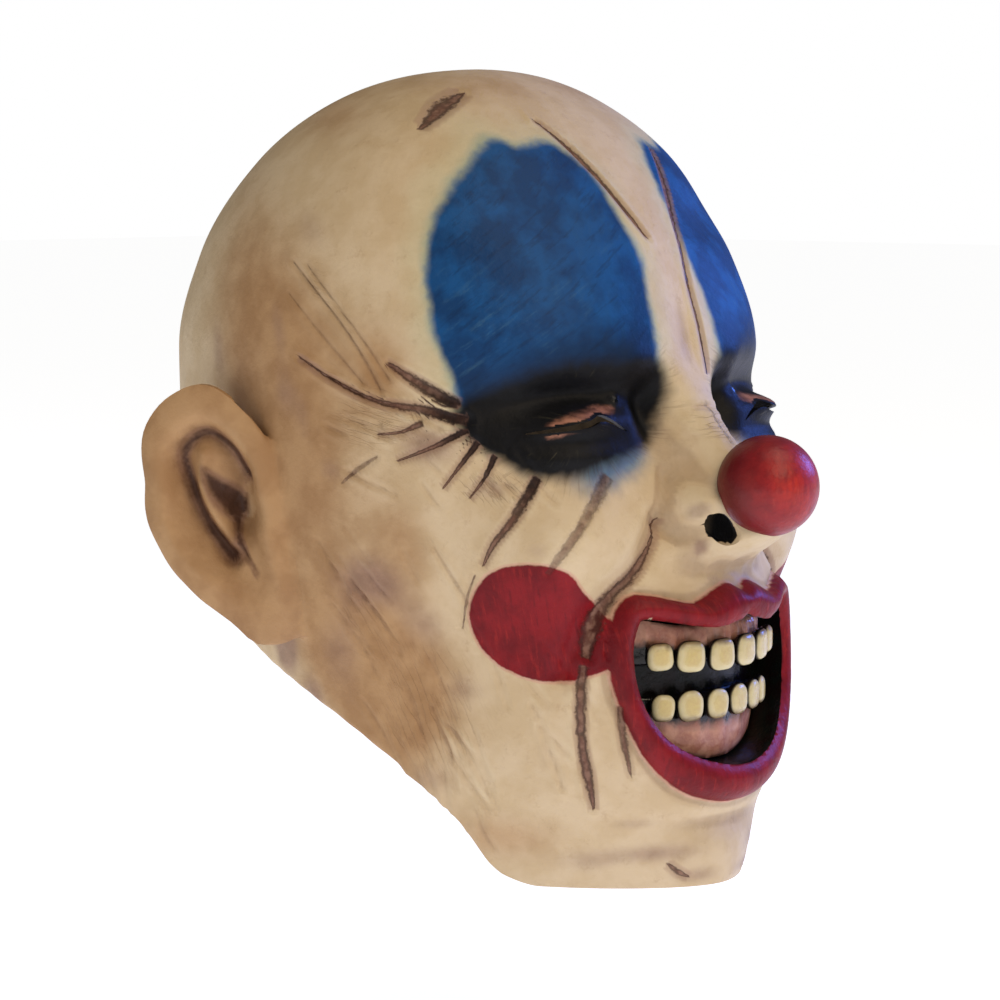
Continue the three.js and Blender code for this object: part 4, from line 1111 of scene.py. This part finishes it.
# Painted gum latex: wet-looking gloss over mottled pink
wet, shader = painted("glossed_gum_latex", ("root_share",), {}, (
    ("blotch", "solid", (5, 5, 5), 0, 3, 0.55),
    ("speck", "solid", (1.2, 1.2, 1.2), 0, 3, 0.6),
), (
    ("#D39C84", "#B97C69", "blotch", (), 1, 0.26),
    ("#E0B09A", "#CF987F", "speck", (("speck", 0.5, 0.7, {}),), 0.5, 0.24),
    ("#100C0E", "#0A0809", "blotch", (("root_share", 0.6, 0.36, {"blotch": 0.4}),), 1, 0.15),
), (("blotch", 0.5), ("speck", 0.12)))
shader.inputs["Specular IOR Level"].default_value = 0.3
shader.inputs["Coat Weight"].default_value = 0.12
shader.inputs["Coat Roughness"].default_value = 0.08
for row in ("upper", "lower"):
    points, faces, roots = gum(row)
    made = as_object(f"{row}_gum_latex", points / 1000, faces)
    made.data.attributes.new("root_share", "FLOAT", "POINT").data.foreach_set("value", roots)
    made.data.shade_smooth()
    made.data.set_sharp_from_angle(angle=math.radians(60))
    made.data.materials.append(wet)
    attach(made, "root")
    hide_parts(f"{row}_gum")

# Teeth: separate hard plastic castings, each a little different, cream with a yellow middle and brown
# at the root, glued to the gums along the dental arch.
tooth_shapes = {  # width, height, how pointed, sideways lean in degrees, lift
    "upper": ((0.84, 0.86, 0.1, 3, 0.4), (0.97, 0.98, 0.12, -2, 0), (1, 1, 0.08, 1, -0.2),
              (0.98, 1, 0.1, -1, 0), (0.96, 0.96, 0.14, 2, 0.1), (0.84, 0.86, 0.1, -3, 0.3)),
    "lower": ((0.84, 0.86, 0.3, -4, 0.1), (1, 0.98, 0.42, 2, 0), (0.96, 0.94, 0.34, -2, 0.2),
              (0.98, 0.97, 0.4, 2, 0), (0.97, 0.93, 0.36, -2, 0.1), (0.84, 0.86, 0.3, 4, 0.1)),
}
# Cast acrylic, stained and varnished: a hard gloss with a little light coming through the edges
ivory, shader = painted("cast_tooth_acrylic", ("middle_share", "root_share"), {}, (
    ("blotch", "solid", (4, 4, 4), 0, 3, 0.55),
    ("speck", "solid", (1, 1, 1), 0, 3, 0.6),
), (
    ("#D3C698", "#DBD0A6", "blotch", (), 1, 0.3),
    ("#C6AE58", "#BE9F4E", "speck", (("middle_share", 0.35, 0.95, {"blotch": 0.6}),), 0.6, 0.22),
    ("#7A5433", "#5E3C24", "blotch", (("root_share", 0.72, 1, {"blotch": 0.4}),), 0.75, 0.3),
    # near-black at each tooth's sides and back: a dark outline that also paints the shade between the teeth
    ("#1A1210", "#0E0A09", "blotch", (("middle_share", 0.16, 0.02, {}),), 1, 0.25),
), (("blotch", 0.25), ("speck", 0.05)))
shader.inputs["Subsurface Weight"].default_value = 0.12
shader.inputs["Subsurface Radius"].default_value = (0.003, 0.002, 0.001)
rounds = 40
around = 2 * math.pi * np.arange(rounds) / rounds
for row in ("upper", "lower"):
    up = 1 if row == "upper" else -1
    level, places, row_wide, _ = tooth_rows[row]
    for number, (wide, tall, point, lean, lift) in enumerate(tooth_shapes[row], 1):
        x = places[int(abs(number - 3.5))] * (1 if number > 3 else -1)
        turn, tip = math.atan2(x, ARCH_RADIUS), math.radians(lean)
        rings, middles, roots = [], [], []
        for angle in np.radians([8, 18, 30, 42, 55, 70, 90, 110, 125, 140, 155, 170]):
            swell = math.sin(angle) ** 0.45
            high = np.sign(np.sin(around)) * np.abs(np.sin(around)) ** 0.6 * swell
            side = np.sign(np.cos(around)) * np.abs(np.cos(around)) ** 0.6 * swell
            to_tip = np.clip(-up * high, 0, 1)
            side = side * (1 - 0.1 * up * high) * (1 - point * to_tip**2)
            px, pz = side * wide * row_wide * TOOTH_WIDTH / 2, high * tall * TOOTH_HEIGHT / 2
            py = np.full(rounds, -math.cos(angle) * TOOTH_THICKNESS / 2) + 0.02 * px * px
            px, pz = px * math.cos(tip) - pz * math.sin(tip), px * math.sin(tip) + pz * math.cos(tip)
            spot = np.stack([
                px * math.cos(turn) - py * math.sin(turn), px * math.sin(turn) + py * math.cos(turn), pz,
            ], 1)
            seat_y = arch_y(row, x) - GAP - TOOTH_THICKNESS / 2 / math.cos(turn)
            rings.append(spot + (x, seat_y, level + up * lift))
            middles.append(np.full(rounds, 1 - swell**2 if angle < 1.6 else 0.0))
            roots.append(np.clip(0.5 + 0.5 * up * high, 0, 1))
        points, faces = lofted(rings, rings[0].mean(0), rings[-1].mean(0))
        name = f"{row}_tooth_{number}"
        made = as_object(f"{name}_cast", points / 1000, faces)
        for field_name, values, ends in (("middle_share", middles, 1.0), ("root_share", roots, 0.5)):
            stored = made.data.attributes.new(field_name, "FLOAT", "POINT")
            stored.data.foreach_set("value", np.concatenate([[ends], np.ravel(values), [0]]))
        made.data.shade_smooth()
        made.data.materials.append(ivory)
        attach(made, "root")
        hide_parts(name)
